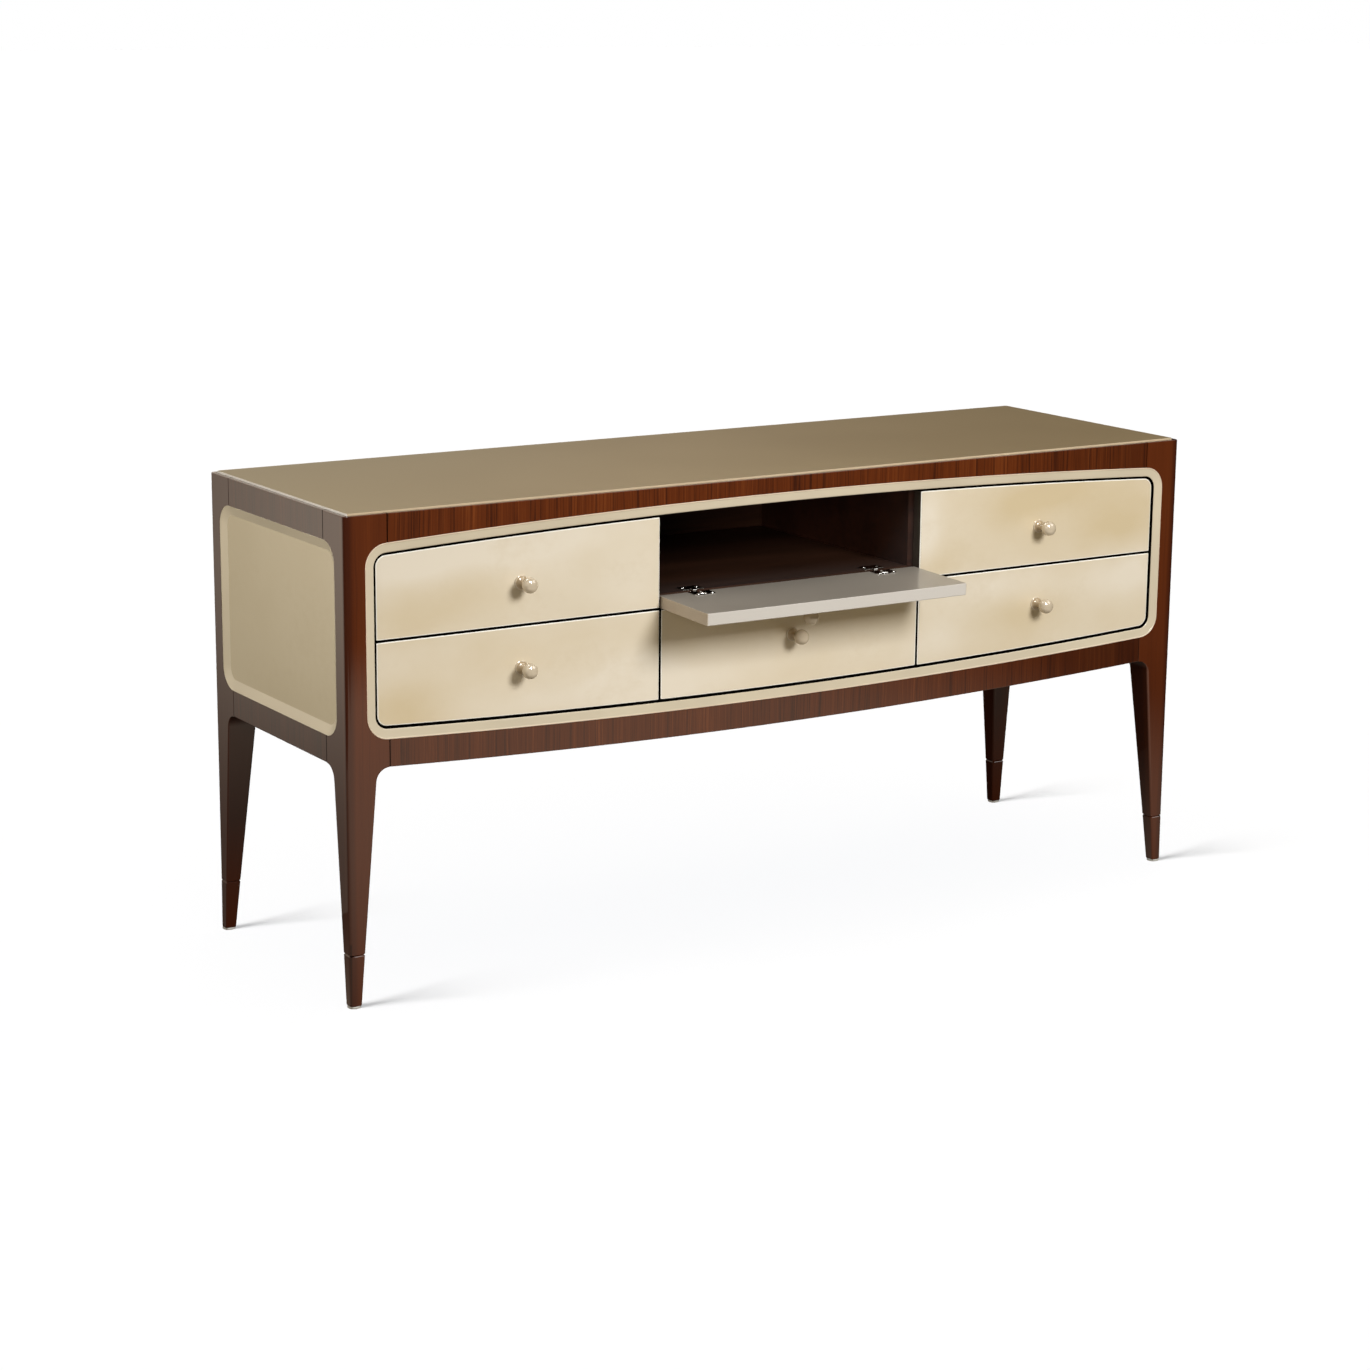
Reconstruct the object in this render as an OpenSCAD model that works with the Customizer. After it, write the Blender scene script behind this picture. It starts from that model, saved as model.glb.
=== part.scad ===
// Long low sideboard on tapered legs: a veneered frame with a barrel-shaped front opening,
// five drawers, a fall flap over an open compartment, and a painted glass top.
// Millimetres, +Z up, standing on the floor, front towards -Y.

/* [Body] */
// Width over the corner posts
body_w = 1800; // [1600:10:2200]
// Depth over the corner posts
body_d = 542; // [500:2:640]
// Height of the wooden top edge above the floor
body_h = 852; // [830:1:900]
// Radius on the outer vertical edges of the posts
corner_r = 9; // [5:1:12]

/* [Frame] */
// Width of a post's face where a rail meets it
post_w = 79; // [76:1:84]
// Width of a post's face beside an opening
stile_w = 38; // [36:1:44]
// Height of the top rails at the posts
top_rail_h = 49.5; // [46:0.5:54]
// Height of the bottom rails at the posts
bottom_rail_h = 48; // [44:1:56]
// Height of the openings at the posts
open_h = 336.5; // [330:0.5:345]
// Rise of the arched front rails at mid width
arch = 20.5; // [12:0.5:22]
// Thickness of the rails
rail_t = 22; // [19:1:25]

/* [Legs] */
// Width of a leg just under its fillet
leg_w = 55; // [52:1:60]
// Width of a leg at its foot
foot_w = 21; // [20:1:30]
// Height of the scored line round the foot
groove_z = 94; // [80:1:120]
// Depth of the scored line
groove_d = 1.8; // [1:0.1:2.5]
// Thickness of the glides under the feet
glide_t = 4; // [3:0.5:6]
// Radius of the glides
glide_r = 12; // [10:0.5:13]

/* [Glass top] */
// Distance from the body's edge to the glass
glass_inset = 9; // [7:0.5:12]
// Thickness of the glass
glass_t = 6; // [5:0.5:8]
// How far the glass stands proud of the wood
glass_proud = 3; // [2:0.5:4]
// Radius of the glass corners
glass_r = 4; // [2:1:8]

/* [Panels] */
// Width of the sloping border round each opening
border_w = 18; // [16:1:20]
// How far the border slopes back at the front
border_drop = 6; // [4:0.5:8]
// How far the border slopes back at the sides
side_drop = 7; // [5:0.5:9]
// Thickness of the front border and of the side panels
panel_t = 18; // [16:1:20]
// Thickness of the back panel
back_t = 8; // [6:1:10]
// How far the back panel lies behind the rear face
back_drop = 10; // [8:1:12]

/* [Carcass] */
// Thickness of the boards and dividers
board_t = 18; // [16:1:20]
// Distance between the centres of the two dividers
centre_w = 564; // [480:4:600]
// Free space between the fronts and the carcass behind them
carcass_gap = 2; // [2:0.5:4]
// Drop of the bottom board below the lowest point of the opening
board_drop = 2; // [1:0.5:3]

/* [Fronts] */
// Gap round each front
front_gap = 3.8; // [3.5:0.1:4.5]
// Thickness of the drawer fronts and of the flap
front_t = 22; // [20:0.5:24]

/* [Drawer boxes] */
// Thickness of the drawer sides and backs
box_t = 12; // [10:1:15]
// Height of the drawer sides
box_h = 100; // [80:1:110]
// Height of the drawer backs
box_back_h = 84; // [60:1:90]
// Length of the drawer boxes behind their fronts
box_l = 440; // [400:5:450]
// Thickness of the drawer bottoms
bottom_t = 6; // [5:1:8]
// Height of the drawer bottoms above the lower edge of the sides
bottom_up = 8; // [6:1:12]
// Height of an upper drawer box above the lower edge of its front
upper_box_up = 9; // [7:1:15]
// Height of a lower drawer box above the post end of the opening
lower_box_up = 34; // [30:1:38]

/* [Runners] */
// Width of a runner between the carcass and a drawer
runner_w = 13; // [12.5:0.5:14]
// Height of a runner
runner_h = 40; // [35:1:45]
// Length of a runner
runner_l = 420; // [380:5:430]
// Wall of the outer runner
runner_wall = 2; // [1.5:0.1:2.5]
// Play between the outer and the inner runner
runner_play = 0.5; // [0.3:0.1:0.8]
// Free space between an outer runner's lips and the drawer
runner_free = 1.5; // [1:0.1:2]

/* [Knobs] */
// Radius of a knob's ball
knob_r = 14; // [12:0.5:18]
// Distance from the front to the ball's centre
knob_reach = 31; // [26:0.5:34]
// Radius of the rosette at the knob's root
rosette_r = 13; // [10:0.5:14]
// Thickness of the rosette's rim
rosette_t = 2.5; // [2:0.5:4]
// Radius of the knob's neck
neck_r = 6; // [5:0.5:8]
// Distance of the knobs above and below the middle of the opening
knob_rise = 75; // [60:1:80]

/* [Flap hinges] */
// Angle past square at which the open flap comes to rest
droop = 1.5; // [0:0.25:1.75]
// Depth of the hinge pin behind the flap's outer face
pivot_in = 7; // [7:0.25:8]
// Height of the hinge pin above the flap's lower edge
pivot_up = 5; // [4.5:0.25:5.5]
// Radius of the rounded lower edge of the flap
nose_r = 3; // [2:0.5:4]
// Distance from the side of the flap to the middle of a hinge
hinge_inset = 82; // [50:1:120]
// Length of a hinge plate
hinge_l = 44; // [40:1:56]
// Width of the plate on the floor
floor_plate_w = 26; // [20:1:30]
// Thickness of the plate on the floor
floor_plate_t = 2.5; // [2:0.1:2.8]
// Reach of the plate on the flap above the hinge pin
flap_plate_w = 26; // [26:1:32]
// Thickness of the plate on the flap
flap_plate_t = 1.5; // [1:0.1:1.6]
// Reach of the plate on the flap below the hinge pin
flap_plate_drop = 1; // [0.5:0.5:2]
// Width of the hinge arm
arm_w = 10; // [8:1:12]
// Thickness of the hinge arm's upright
arm_t = 5.6; // [4:0.2:6]
// Radius of the hinge pin
pin_r = 1.5; // [1.2:0.1:1.6]
// Radius of the eye round the hinge pin
eye_r = 4; // [3.6:0.1:4.2]
// Radial play between the pin and its holes
pin_play = 0.05; // [0.03:0.01:0.08]
// Length of the pin let into the flap on each side of its slot
pin_seat = 7; // [5:1:10]
// Play between the hinge arm and the flap's slot
arm_play = 0.6; // [0.5:0.1:1]
// Play between the top of the hinge arm and the end of the slot
slot_play = 2.4; // [2:0.2:4]
// Radius of a hinge screw's head
screw_r = 3.8; // [3:0.1:4.5]
// Height of a hinge screw's head
screw_h = 1.4; // [1:0.1:2]

/* [Hidden] */
$fn = 64;
arch_steps = 14;
corner_steps = 10;
fillet_steps = 10;
thin = 0.01;
past = 5;

half_w = body_w / 2;
half_d = body_d / 2;
front_half = half_w - post_w;
side_half = half_d - post_w;
open_r = post_w - stile_w;
open_z1 = body_h - top_rail_h;
open_z0 = open_z1 - open_h;
open_mid = (open_z0 + open_z1) / 2;
leg_h = open_z0 - bottom_rail_h;
fillet = post_w - leg_w;
rebate = glass_t - glass_proud;
score = groove_d * sqrt(2);

carcass_y = border_drop + front_t + carcass_gap;
back_y = body_d - rail_t;
floor_top = open_mid + front_gap / 2 + pivot_up + front_t - pivot_in;
top_board_z = body_h - rebate - board_t;
bottom_board_top = open_z0 - arch - board_drop;
carcass_h = top_board_z - bottom_board_top;
gable_x = half_w - stile_w - border_w;
divider_x = centre_w / 2;

pivot_y = border_drop + pivot_in;
pivot_z = open_mid + front_gap / 2 + pivot_up;
flap_half = divider_x - front_gap / 2;
hinge_x = flap_half - hinge_inset;
slot_half = arm_w / 2 + arm_play;
arm_seat = 0.3;
arm_y1 = carcass_y - arm_seat;
arm_y0 = arm_y1 - arm_t;
slot_top = floor_top + floor_plate_t + slot_play;

flap_top = open_mid + open_h / 2 - border_w - front_gap + arch;
flap_reach = (flap_top - pivot_z) * cos(droop) + (front_t - pivot_in) * sin(droop) - pivot_y;
glide_edge = max(0, glide_r - foot_w / 2);
front_y = (flap_reach - body_d - glide_edge) / 2;

runner_y = stile_w + 2;
upper_box_z = open_mid + front_gap / 2 + upper_box_up;
lower_box_z = open_z0 + lower_box_up;

// Each drawer: its name, its column from -1 to 1 and its row, 1 for upper and -1 for lower.
DRAWERS = [
    ["upper_left", -1, 1],
    ["lower_left", -1, -1],
    ["lower_centre", 0, -1],
    ["upper_right", 1, 1],
    ["lower_right", 1, -1]
];
DRAWER_PIECES = ["front", "sides", "back", "bottom", "knob", "runners"];

wood = "#5a2a18";
dark_wood = "#35211a";
cream = "#d8caa4";
taupe = "#b0a284";
bronze = "#9a8b6c";
steel = "silver";

// Height that an arched edge gains over its ends, at a distance x from the middle.
function rise_at(x, half, rise) = rise * (1 - pow(x / half, 2));

// A quarter of an opening's outline, from the middle of its top to its right side: a shallow
// arch and a round corner tangent to it. Coordinates are taken from the opening's middle.
function quarter(half, inset, rise) =
    let (
        r = open_r - inset,
        lean = atan(2 * rise / half),
        end_x = half + r * sin(lean),
        edge = open_h / 2 - inset,
        corner_z = edge + rise_at(end_x, half, rise) - r * cos(lean)
    )
    concat(
        [for (i = [0:arch_steps]) let (x = end_x * i / arch_steps) [x, edge + rise_at(x, half, rise)]],
        [for (i = [1:corner_steps]) let (a = (90 - lean) * (1 - i / corner_steps))
            [half + r * cos(a), corner_z + r * sin(a)]]
    );

// The whole outline, mirrored from its quarter.
function outline(half, inset, rise) =
    let (q = quarter(half, inset, rise), last = len(q) - 1)
    concat(
        q,
        [for (i = [last:-1:1]) [q[i].x, -q[i].y]],
        [for (i = [0:last]) [-q[i].x, -q[i].y]],
        [for (i = [last:-1:1]) [-q[i].x, q[i].y]]
    );

// Moves a piece from the cabinet's own axes, with y from 0 at the front face, to the part's.
module place() { translate([0, front_y, 0]) children(); }

module both_sides() { children(); mirror([1, 0, 0]) children(); }

// Extrudes an outline drawn in x and z backwards from y0.
module upright(y0, depth) {
    translate([0, y0 + depth, 0]) rotate([90, 0, 0]) linear_extrude(depth) children();
}

// Extrudes an outline drawn in y and z to the right from x0.
module sideways(x0, width) {
    translate([x0, 0, 0]) rotate([90, 0, 90]) linear_extrude(width) children();
}

module front_outline(inset, rise) { translate([0, open_mid]) polygon(outline(front_half, inset, rise)); }

module side_outline(inset) { translate([half_d, open_mid]) polygon(outline(side_half, inset, 0)); }

module glass_rebate() {
    edge = glass_inset - arm_seat;
    translate([-half_w + edge, edge, body_h - rebate])
        cube([body_w - 2 * edge, body_d - 2 * edge, past]);
}

// Frame

// Side view of a post with its tapered leg and the fillet between them, from its outer edge.
module post_profile() {
    polygon(concat(
        [[post_w, body_h], [0, body_h], [0, glide_t], [foot_w, glide_t]],
        [for (i = [0:fillet_steps]) let (a = 180 - 90 * i / fillet_steps)
            [post_w + fillet * cos(a), leg_h - fillet + fillet * sin(a)]]
    ));
}

// The front left post, an L above its leg. The rise is that of the arch it opens to.
module left_post(rise) {
    translate([-half_w, 0, 0]) difference() {
        intersection() {
            upright(0, post_w) post_profile();
            sideways(0, post_w) post_profile();
        }
        translate([stile_w, stile_w, leg_h]) cube([post_w, post_w, body_h]);
        translate([half_w, 0, 0]) upright(-past, stile_w + 2 * past) front_outline(0, rise);
        sideways(-past, stile_w + 2 * past) side_outline(0);
        translate([half_w, 0, 0]) glass_rebate();
        difference() {
            translate([-past, -past, -past]) cube([corner_r + past, corner_r + past, body_h + 2 * past]);
            translate([corner_r, corner_r, -2 * past]) cylinder(r = corner_r, h = body_h + 4 * past);
        }
        translate([-past, 0, groove_z - groove_d]) rotate([45, 0, 0]) cube([post_w, score, score]);
        translate([0, -past, groove_z - groove_d]) rotate([0, -45, 0]) cube([score, post_w, score]);
    }
}

module leg(right, rear) {
    color(wood) place() mirror([right, 0, 0])
        translate([0, rear * body_d, 0]) mirror([0, rear, 0]) left_post(arch * (1 - rear));
}

module foot_glides() {
    inset = foot_w / 2;
    color("lightgray") place() both_sides() for (y = [inset, body_d - inset])
        translate([-half_w + inset, y, 0]) cylinder(r = glide_r, h = glide_t);
}

module front_top_rail() {
    color(wood) place() difference() {
        translate([-front_half, 0, open_z1 - arch]) cube([2 * front_half, rail_t, body_h - open_z1 + arch]);
        upright(-past, rail_t + 2 * past) front_outline(0, arch);
        glass_rebate();
    }
}

module front_bottom_rail() {
    lower = [for (i = [-arch_steps:arch_steps]) let (x = front_half * i / arch_steps)
        [x, leg_h - rise_at(x, front_half, arch)]];
    upper = [[front_half, open_z0 + arch], [-front_half, open_z0 + arch]];
    color(wood) place() difference() {
        upright(0, rail_t) polygon(concat(lower, upper));
        upright(-past, rail_t + 2 * past) front_outline(0, arch);
    }
}

module back_rails() {
    color(wood) place() {
        difference() {
            translate([-front_half, back_y, open_z1]) cube([2 * front_half, rail_t, top_rail_h]);
            glass_rebate();
        }
        translate([-front_half, back_y, leg_h]) cube([2 * front_half, rail_t, bottom_rail_h]);
    }
}

module side_rails() {
    color(wood) place() both_sides() {
        difference() {
            translate([-half_w, post_w, open_z1]) cube([rail_t, 2 * side_half, top_rail_h]);
            glass_rebate();
        }
        translate([-half_w, post_w, leg_h]) cube([rail_t, 2 * side_half, bottom_rail_h]);
    }
}

// Boards and panels

// The L of a corner post as the boards meet it.
module post_corners(z, height) {
    both_sides() for (rear = [0, 1]) translate([-half_w, rear * body_d, z]) mirror([0, rear, 0]) {
        cube([post_w, stile_w, height]);
        cube([stile_w, post_w, height]);
    }
}

module board(z) {
    difference() {
        translate([-half_w + rail_t, rail_t, z]) cube([body_w - 2 * rail_t, body_d - 2 * rail_t, board_t]);
        post_corners(z - past, board_t + 2 * past);
    }
}

module top_board() { color(dark_wood) place() board(top_board_z); }

module bottom_board() { color(dark_wood) place() board(bottom_board_top - board_t); }

module glass_top() {
    corners = [for (k = [0:3]) for (i = [0:corner_steps]) let (a = 90 * (k + i / corner_steps))
        [(k == 0 || k == 3 ? 1 : -1) * (half_w - glass_inset - glass_r) + glass_r * cos(a),
         (k < 2 ? 1 : -1) * (half_d - glass_inset - glass_r) + glass_r * sin(a)]];
    color(bronze) place() translate([0, half_d, body_h - rebate]) linear_extrude(glass_t) polygon(corners);
}

// A side panel: a board that fills the side opening, dished inside its sloping border.
module side_panel(right) {
    color(taupe) place() mirror([right, 0, 0]) difference() {
        sideways(-half_w, panel_t) side_outline(0);
        hull() {
            sideways(-half_w - thin, thin) side_outline(0);
            sideways(-half_w + side_drop - thin, thin) side_outline(border_w);
        }
    }
}

module back_panel() {
    color(dark_wood) place() upright(body_d - back_drop - back_t, back_t) front_outline(0, 0);
}

module gables() {
    color(dark_wood) place() both_sides()
        translate([-half_w + stile_w, stile_w, bottom_board_top])
            cube([border_w, body_d - 2 * stile_w, carcass_h]);
}

module dividers() {
    color(dark_wood) place() both_sides()
        translate([divider_x - board_t / 2, carcass_y, bottom_board_top])
            cube([board_t, back_y - carcass_y, carcass_h]);
}

module compartment_floor() {
    width = centre_w - board_t;
    color(dark_wood) place() translate([-width / 2, carcass_y, floor_top - board_t])
        cube([width, back_y - carcass_y, board_t]);
}

// The front border: a ring whose face slopes back from the frame to the fronts.
module border_ring() {
    difference() {
        upright(0, panel_t) front_outline(0, arch);
        upright(-past, panel_t + 2 * past) front_outline(border_w, arch);
        hull() {
            upright(-thin, thin) front_outline(0, arch);
            upright(border_drop - thin, thin) front_outline(border_w, arch);
        }
    }
}

module border_part(x, z, width, height) {
    color(cream) place() intersection() {
        border_ring();
        translate([x, -past, z]) cube([width, panel_t + 2 * past, height]);
    }
}

module border_top() { border_part(-front_half, open_mid, 2 * front_half, body_h - open_mid); }

module border_bottom() { border_part(-front_half, 0, 2 * front_half, open_mid); }

module border_ends() {
    border_part(-half_w, 0, post_w, body_h);
    border_part(front_half, 0, post_w, body_h);
}

// Runners

// An outer runner on a wall at x = 0 whose open side faces +X, its lower edge at z = 0.
module outer_runner() {
    depth = runner_w - runner_free;
    translate([0, runner_y, 0]) difference() {
        cube([depth, runner_l, runner_h]);
        translate([runner_wall, -past, runner_wall])
            cube([depth, runner_l + 2 * past, runner_h - 2 * runner_wall]);
    }
}

function box_z(row) = row > 0 ? upper_box_z : lower_box_z;

function runner_z(row) = box_z(row) + (box_h - runner_h) / 2;

// Inner and outer carcass faces of a column, as seen from the cabinet's middle.
function column_x0(col) = col == 0 ? -divider_x + board_t / 2 : divider_x + board_t / 2;

function column_x1(col) = col == 0 ? divider_x - board_t / 2 : gable_x;

module cabinet_runners() {
    color(steel) place() for (d = DRAWERS) mirror([d[1] < 0 ? 1 : 0, 0, 0])
        translate([0, 0, runner_z(d[2])]) {
            translate([column_x0(abs(d[1])), 0, 0]) outer_runner();
            translate([column_x1(abs(d[1])), 0, 0]) mirror([1, 0, 0]) outer_runner();
        }
}

// Drawers, each drawn for the right column and mirrored to the left

module front_panel(col, row) {
    x0 = col == 0 ? -flap_half : divider_x + front_gap / 2;
    x1 = col == 0 ? flap_half : half_w;
    z0 = row > 0 ? open_mid + front_gap / 2 : 0;
    z1 = row > 0 ? body_h : open_mid - front_gap / 2;
    intersection() {
        upright(border_drop, front_t) front_outline(border_w + front_gap, arch);
        translate([x0, 0, z0]) cube([x1 - x0, border_drop + front_t + past, z1 - z0]);
    }
}

module knob() {
    rotate([90, 0, 0]) {
        cylinder(r = rosette_r, h = rosette_t);
        translate([0, 0, rosette_t]) cylinder(r1 = rosette_r, r2 = neck_r, h = rosette_t);
        cylinder(r = neck_r, h = knob_reach);
        translate([0, 0, knob_reach]) sphere(r = knob_r);
    }
}

module front_knob(col, row) {
    x = col == 0 ? 0 : (divider_x + gable_x) / 2;
    translate([x, border_drop, open_mid + row * knob_rise]) knob();
}

module drawer_side_pair(col, row) {
    for (x = [column_x0(col) + runner_w, column_x1(col) - runner_w - box_t])
        translate([x, border_drop + front_t, box_z(row)]) cube([box_t, box_l, box_h]);
}

module drawer_back(col, row) {
    x0 = column_x0(col) + runner_w + box_t;
    x1 = column_x1(col) - runner_w - box_t;
    translate([x0, border_drop + front_t + box_l - box_t, box_z(row) + bottom_up + bottom_t])
        cube([x1 - x0, box_t, box_back_h]);
}

module drawer_bottom(col, row) {
    x0 = column_x0(col) + runner_w + box_t;
    x1 = column_x1(col) - runner_w - box_t;
    translate([x0, border_drop + front_t, box_z(row) + bottom_up]) cube([x1 - x0, box_l, bottom_t]);
}

module drawer_runner_pair(col, row) {
    width = runner_w - runner_wall - runner_play;
    height = runner_h - 2 * (runner_wall + runner_play);
    for (x = [column_x0(col) + runner_w - width, column_x1(col) - runner_w])
        translate([x, runner_y, runner_z(row) + runner_wall + runner_play]) cube([width, runner_l, height]);
}

module drawer_piece(drawer, piece) {
    col = abs(drawer[1]);
    row = drawer[2];
    place() mirror([drawer[1] < 0 ? 1 : 0, 0, 0]) {
        if (piece == "front") color(cream) front_panel(col, row);
        if (piece == "sides") color(dark_wood) drawer_side_pair(col, row);
        if (piece == "back") color(dark_wood) drawer_back(col, row);
        if (piece == "bottom") color(dark_wood) drawer_bottom(col, row);
        if (piece == "knob") color(cream) front_knob(col, row);
        if (piece == "runners") color(steel) drawer_runner_pair(col, row);
    }
}

// Flap and its hinges

// Swings what is drawn with the flap shut to where the open flap rests.
module open_flap() {
    place() translate([0, pivot_y, pivot_z]) rotate([90 + droop, 0, 0])
        translate([0, -pivot_y, -pivot_z]) children();
}

module at_hinges() { for (x = [-hinge_x, hinge_x]) translate([x, 0, 0]) children(); }

module flap_slot() {
    z0 = pivot_z - pivot_up - past;
    translate([-slot_half, pivot_y - eye_r - arm_play, z0])
        cube([2 * slot_half, front_t + past, slot_top - z0]);
}

module flap() {
    low_z = pivot_z - pivot_up;
    color("gainsboro") open_flap() difference() {
        front_panel(0, 1);
        difference() {
            translate([-half_w, 0, 0]) cube([body_w, border_drop + nose_r, low_z + nose_r]);
            translate([-half_w, border_drop + nose_r, low_z + nose_r]) rotate([0, 90, 0])
                cylinder(r = nose_r, h = body_w);
        }
        at_hinges() {
            flap_slot();
            translate([-slot_half - pin_seat, pivot_y, pivot_z]) rotate([0, 90, 0])
                cylinder(r = pin_r + pin_play, h = 2 * (slot_half + pin_seat));
        }
    }
}

module flap_knob() { color(cream) open_flap() front_knob(0, 1); }

module hinge_pins() {
    length = 2 * (slot_half + pin_seat) - 2 * arm_seat;
    color(steel) open_flap() at_hinges() translate([-length / 2, pivot_y, pivot_z]) rotate([0, 90, 0])
        cylinder(r = pin_r, h = length);
}

// The plate on the flap's inner face, forked round the slot.
module flap_hinges() {
    color(steel) open_flap() at_hinges() difference() {
        translate([-hinge_l / 2, border_drop + front_t, pivot_z - flap_plate_drop])
            cube([hinge_l, flap_plate_t, flap_plate_w + flap_plate_drop]);
        flap_slot();
    }
}

module flap_hinge_screws() {
    screw_z = pivot_z + flap_plate_w - screw_r - arm_seat;
    color(steel) open_flap() at_hinges() for (side = [-1, 1])
        translate([side * hinge_l / 3, border_drop + front_t + flap_plate_t, screw_z])
            rotate([-90, 0, 0]) cylinder(r = screw_r, h = screw_h);
}

// The plate on the compartment floor with the arm that carries the pin.
module floor_hinges() {
    plate_top = floor_top + floor_plate_t;
    color(steel) place() at_hinges() difference() {
        union() {
            translate([-hinge_l / 2, carcass_y, floor_top]) cube([hinge_l, floor_plate_w, floor_plate_t]);
            translate([-arm_w / 2, arm_y0, floor_top])
                cube([arm_w, carcass_y - arm_y0 + arm_seat, floor_plate_t]);
            translate([-arm_w / 2, arm_y0, pivot_z - eye_r])
                cube([arm_w, arm_t, plate_top - pivot_z + eye_r]);
            translate([-arm_w / 2, pivot_y, pivot_z - eye_r]) cube([arm_w, arm_y1 - pivot_y, 2 * eye_r]);
            translate([-arm_w / 2, pivot_y, pivot_z]) rotate([0, 90, 0]) cylinder(r = eye_r, h = arm_w);
        }
        translate([-arm_w, pivot_y, pivot_z]) rotate([0, 90, 0])
            cylinder(r = pin_r + pin_play, h = 2 * arm_w);
    }
}

module floor_hinge_screws() {
    color(steel) place() at_hinges() for (side = [-1, 1])
        translate([side * hinge_l / 3, carcass_y + floor_plate_w / 2, floor_top + floor_plate_t])
            cylinder(r = screw_r, h = screw_h);
}

glass_top();
top_board();
front_top_rail();
front_bottom_rail();
back_rails();
side_rails();
leg(0, 0);  // leg_front_left
leg(1, 0);  // leg_front_right
leg(0, 1);  // leg_rear_left
leg(1, 1);  // leg_rear_right
foot_glides();
side_panel(0);  // side_panel_left
side_panel(1);  // side_panel_right
back_panel();
bottom_board();
gables();
dividers();
compartment_floor();
border_top();
border_bottom();
border_ends();
cabinet_runners();
floor_hinges();
floor_hinge_screws();
flap();
flap_knob();
flap_hinges();
hinge_pins();
flap_hinge_screws();
for (d = DRAWERS) for (piece = DRAWER_PIECES)
    drawer_piece(d, piece);
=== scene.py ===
"""A long low sideboard on tapered legs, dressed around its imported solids.

Lengths are metres and angles radians. The front faces -Y and the floor is at z = 0.
"""

import math

import bmesh
import bpy
import numpy as np
from mathutils import Matrix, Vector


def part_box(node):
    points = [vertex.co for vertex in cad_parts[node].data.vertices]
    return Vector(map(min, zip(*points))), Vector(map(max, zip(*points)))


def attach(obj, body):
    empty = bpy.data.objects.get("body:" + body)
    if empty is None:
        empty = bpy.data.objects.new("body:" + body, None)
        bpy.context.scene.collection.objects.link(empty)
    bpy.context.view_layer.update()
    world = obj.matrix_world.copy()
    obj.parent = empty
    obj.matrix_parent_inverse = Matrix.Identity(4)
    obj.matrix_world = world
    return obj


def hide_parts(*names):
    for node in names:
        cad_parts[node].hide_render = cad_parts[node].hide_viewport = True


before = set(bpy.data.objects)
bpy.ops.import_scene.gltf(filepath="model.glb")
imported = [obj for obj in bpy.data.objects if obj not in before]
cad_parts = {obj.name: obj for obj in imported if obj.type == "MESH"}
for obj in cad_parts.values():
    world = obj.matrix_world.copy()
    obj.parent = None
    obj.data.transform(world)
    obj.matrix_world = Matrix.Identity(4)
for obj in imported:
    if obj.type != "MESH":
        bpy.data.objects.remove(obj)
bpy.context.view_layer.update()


# Corner posts. Each post and its tapered leg are one length of solid rosewood: an L beside the openings, a
# square below them, scored round above the foot. The rails are dowelled to it, with a fine joint between.

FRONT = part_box("leg_front_left")[0].y
HALF_WIDTH = 0.900
DEPTH = 0.542
TOP = 0.852
POST = 0.079
STILE = 0.038
RAIL_LOW = 0.418
OPEN_LOW = 0.466
OPEN_HIGH = 0.8025
OPEN_MIDDLE = (OPEN_LOW + OPEN_HIGH) / 2
OPEN_RADIUS = POST - STILE
LEG_WIDTH = 0.055
FOOT_WIDTH = 0.021
FOOT_Z = 0.004
FILLET = POST - LEG_WIDTH
SCORE_Z = 0.094
SCORE_DEEP = 0.0018
REBATE = 0.0087
REBATE_DEEP = 0.003
ARRIS = 0.009
CRISP = 0.0004
RIM_ROUND = 0.0012
LOW_ROUND = 0.0016


def corner_rows(*corners):
    """Polygons, one in each row, from their corners: each a pair of values or columns of values."""
    return np.stack([np.stack(np.broadcast_arrays(*corner), axis=-1) for corner in corners], axis=-2)


def rounded(corners, radii, steps):
    """Polygons with round corners, one in each row. A corner becomes steps + 1 points of the conic that
    starts one radius before it and ends one radius after it, with the cosine of 45 degrees as its middle
    weight."""
    before = np.roll(corners, 1, axis=-2) - corners
    after = np.roll(corners, -1, axis=-2) - corners
    reach = np.broadcast_to(radii, corners.shape[:-1])[..., None]
    start = corners + reach * before / np.linalg.norm(before, axis=-1, keepdims=True)
    end = corners + reach * after / np.linalg.norm(after, axis=-1, keepdims=True)
    share = np.linspace(0, 1, steps + 1)
    weights = np.stack([(1 - share) ** 2, math.sqrt(2) * share * (1 - share), share**2])
    weights = weights / weights.sum(0)
    points = np.einsum("kp,k...cd->...cpd", weights, np.stack([start, corners, end]))
    return points.reshape(*corners.shape[:-2], -1, 2)


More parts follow.
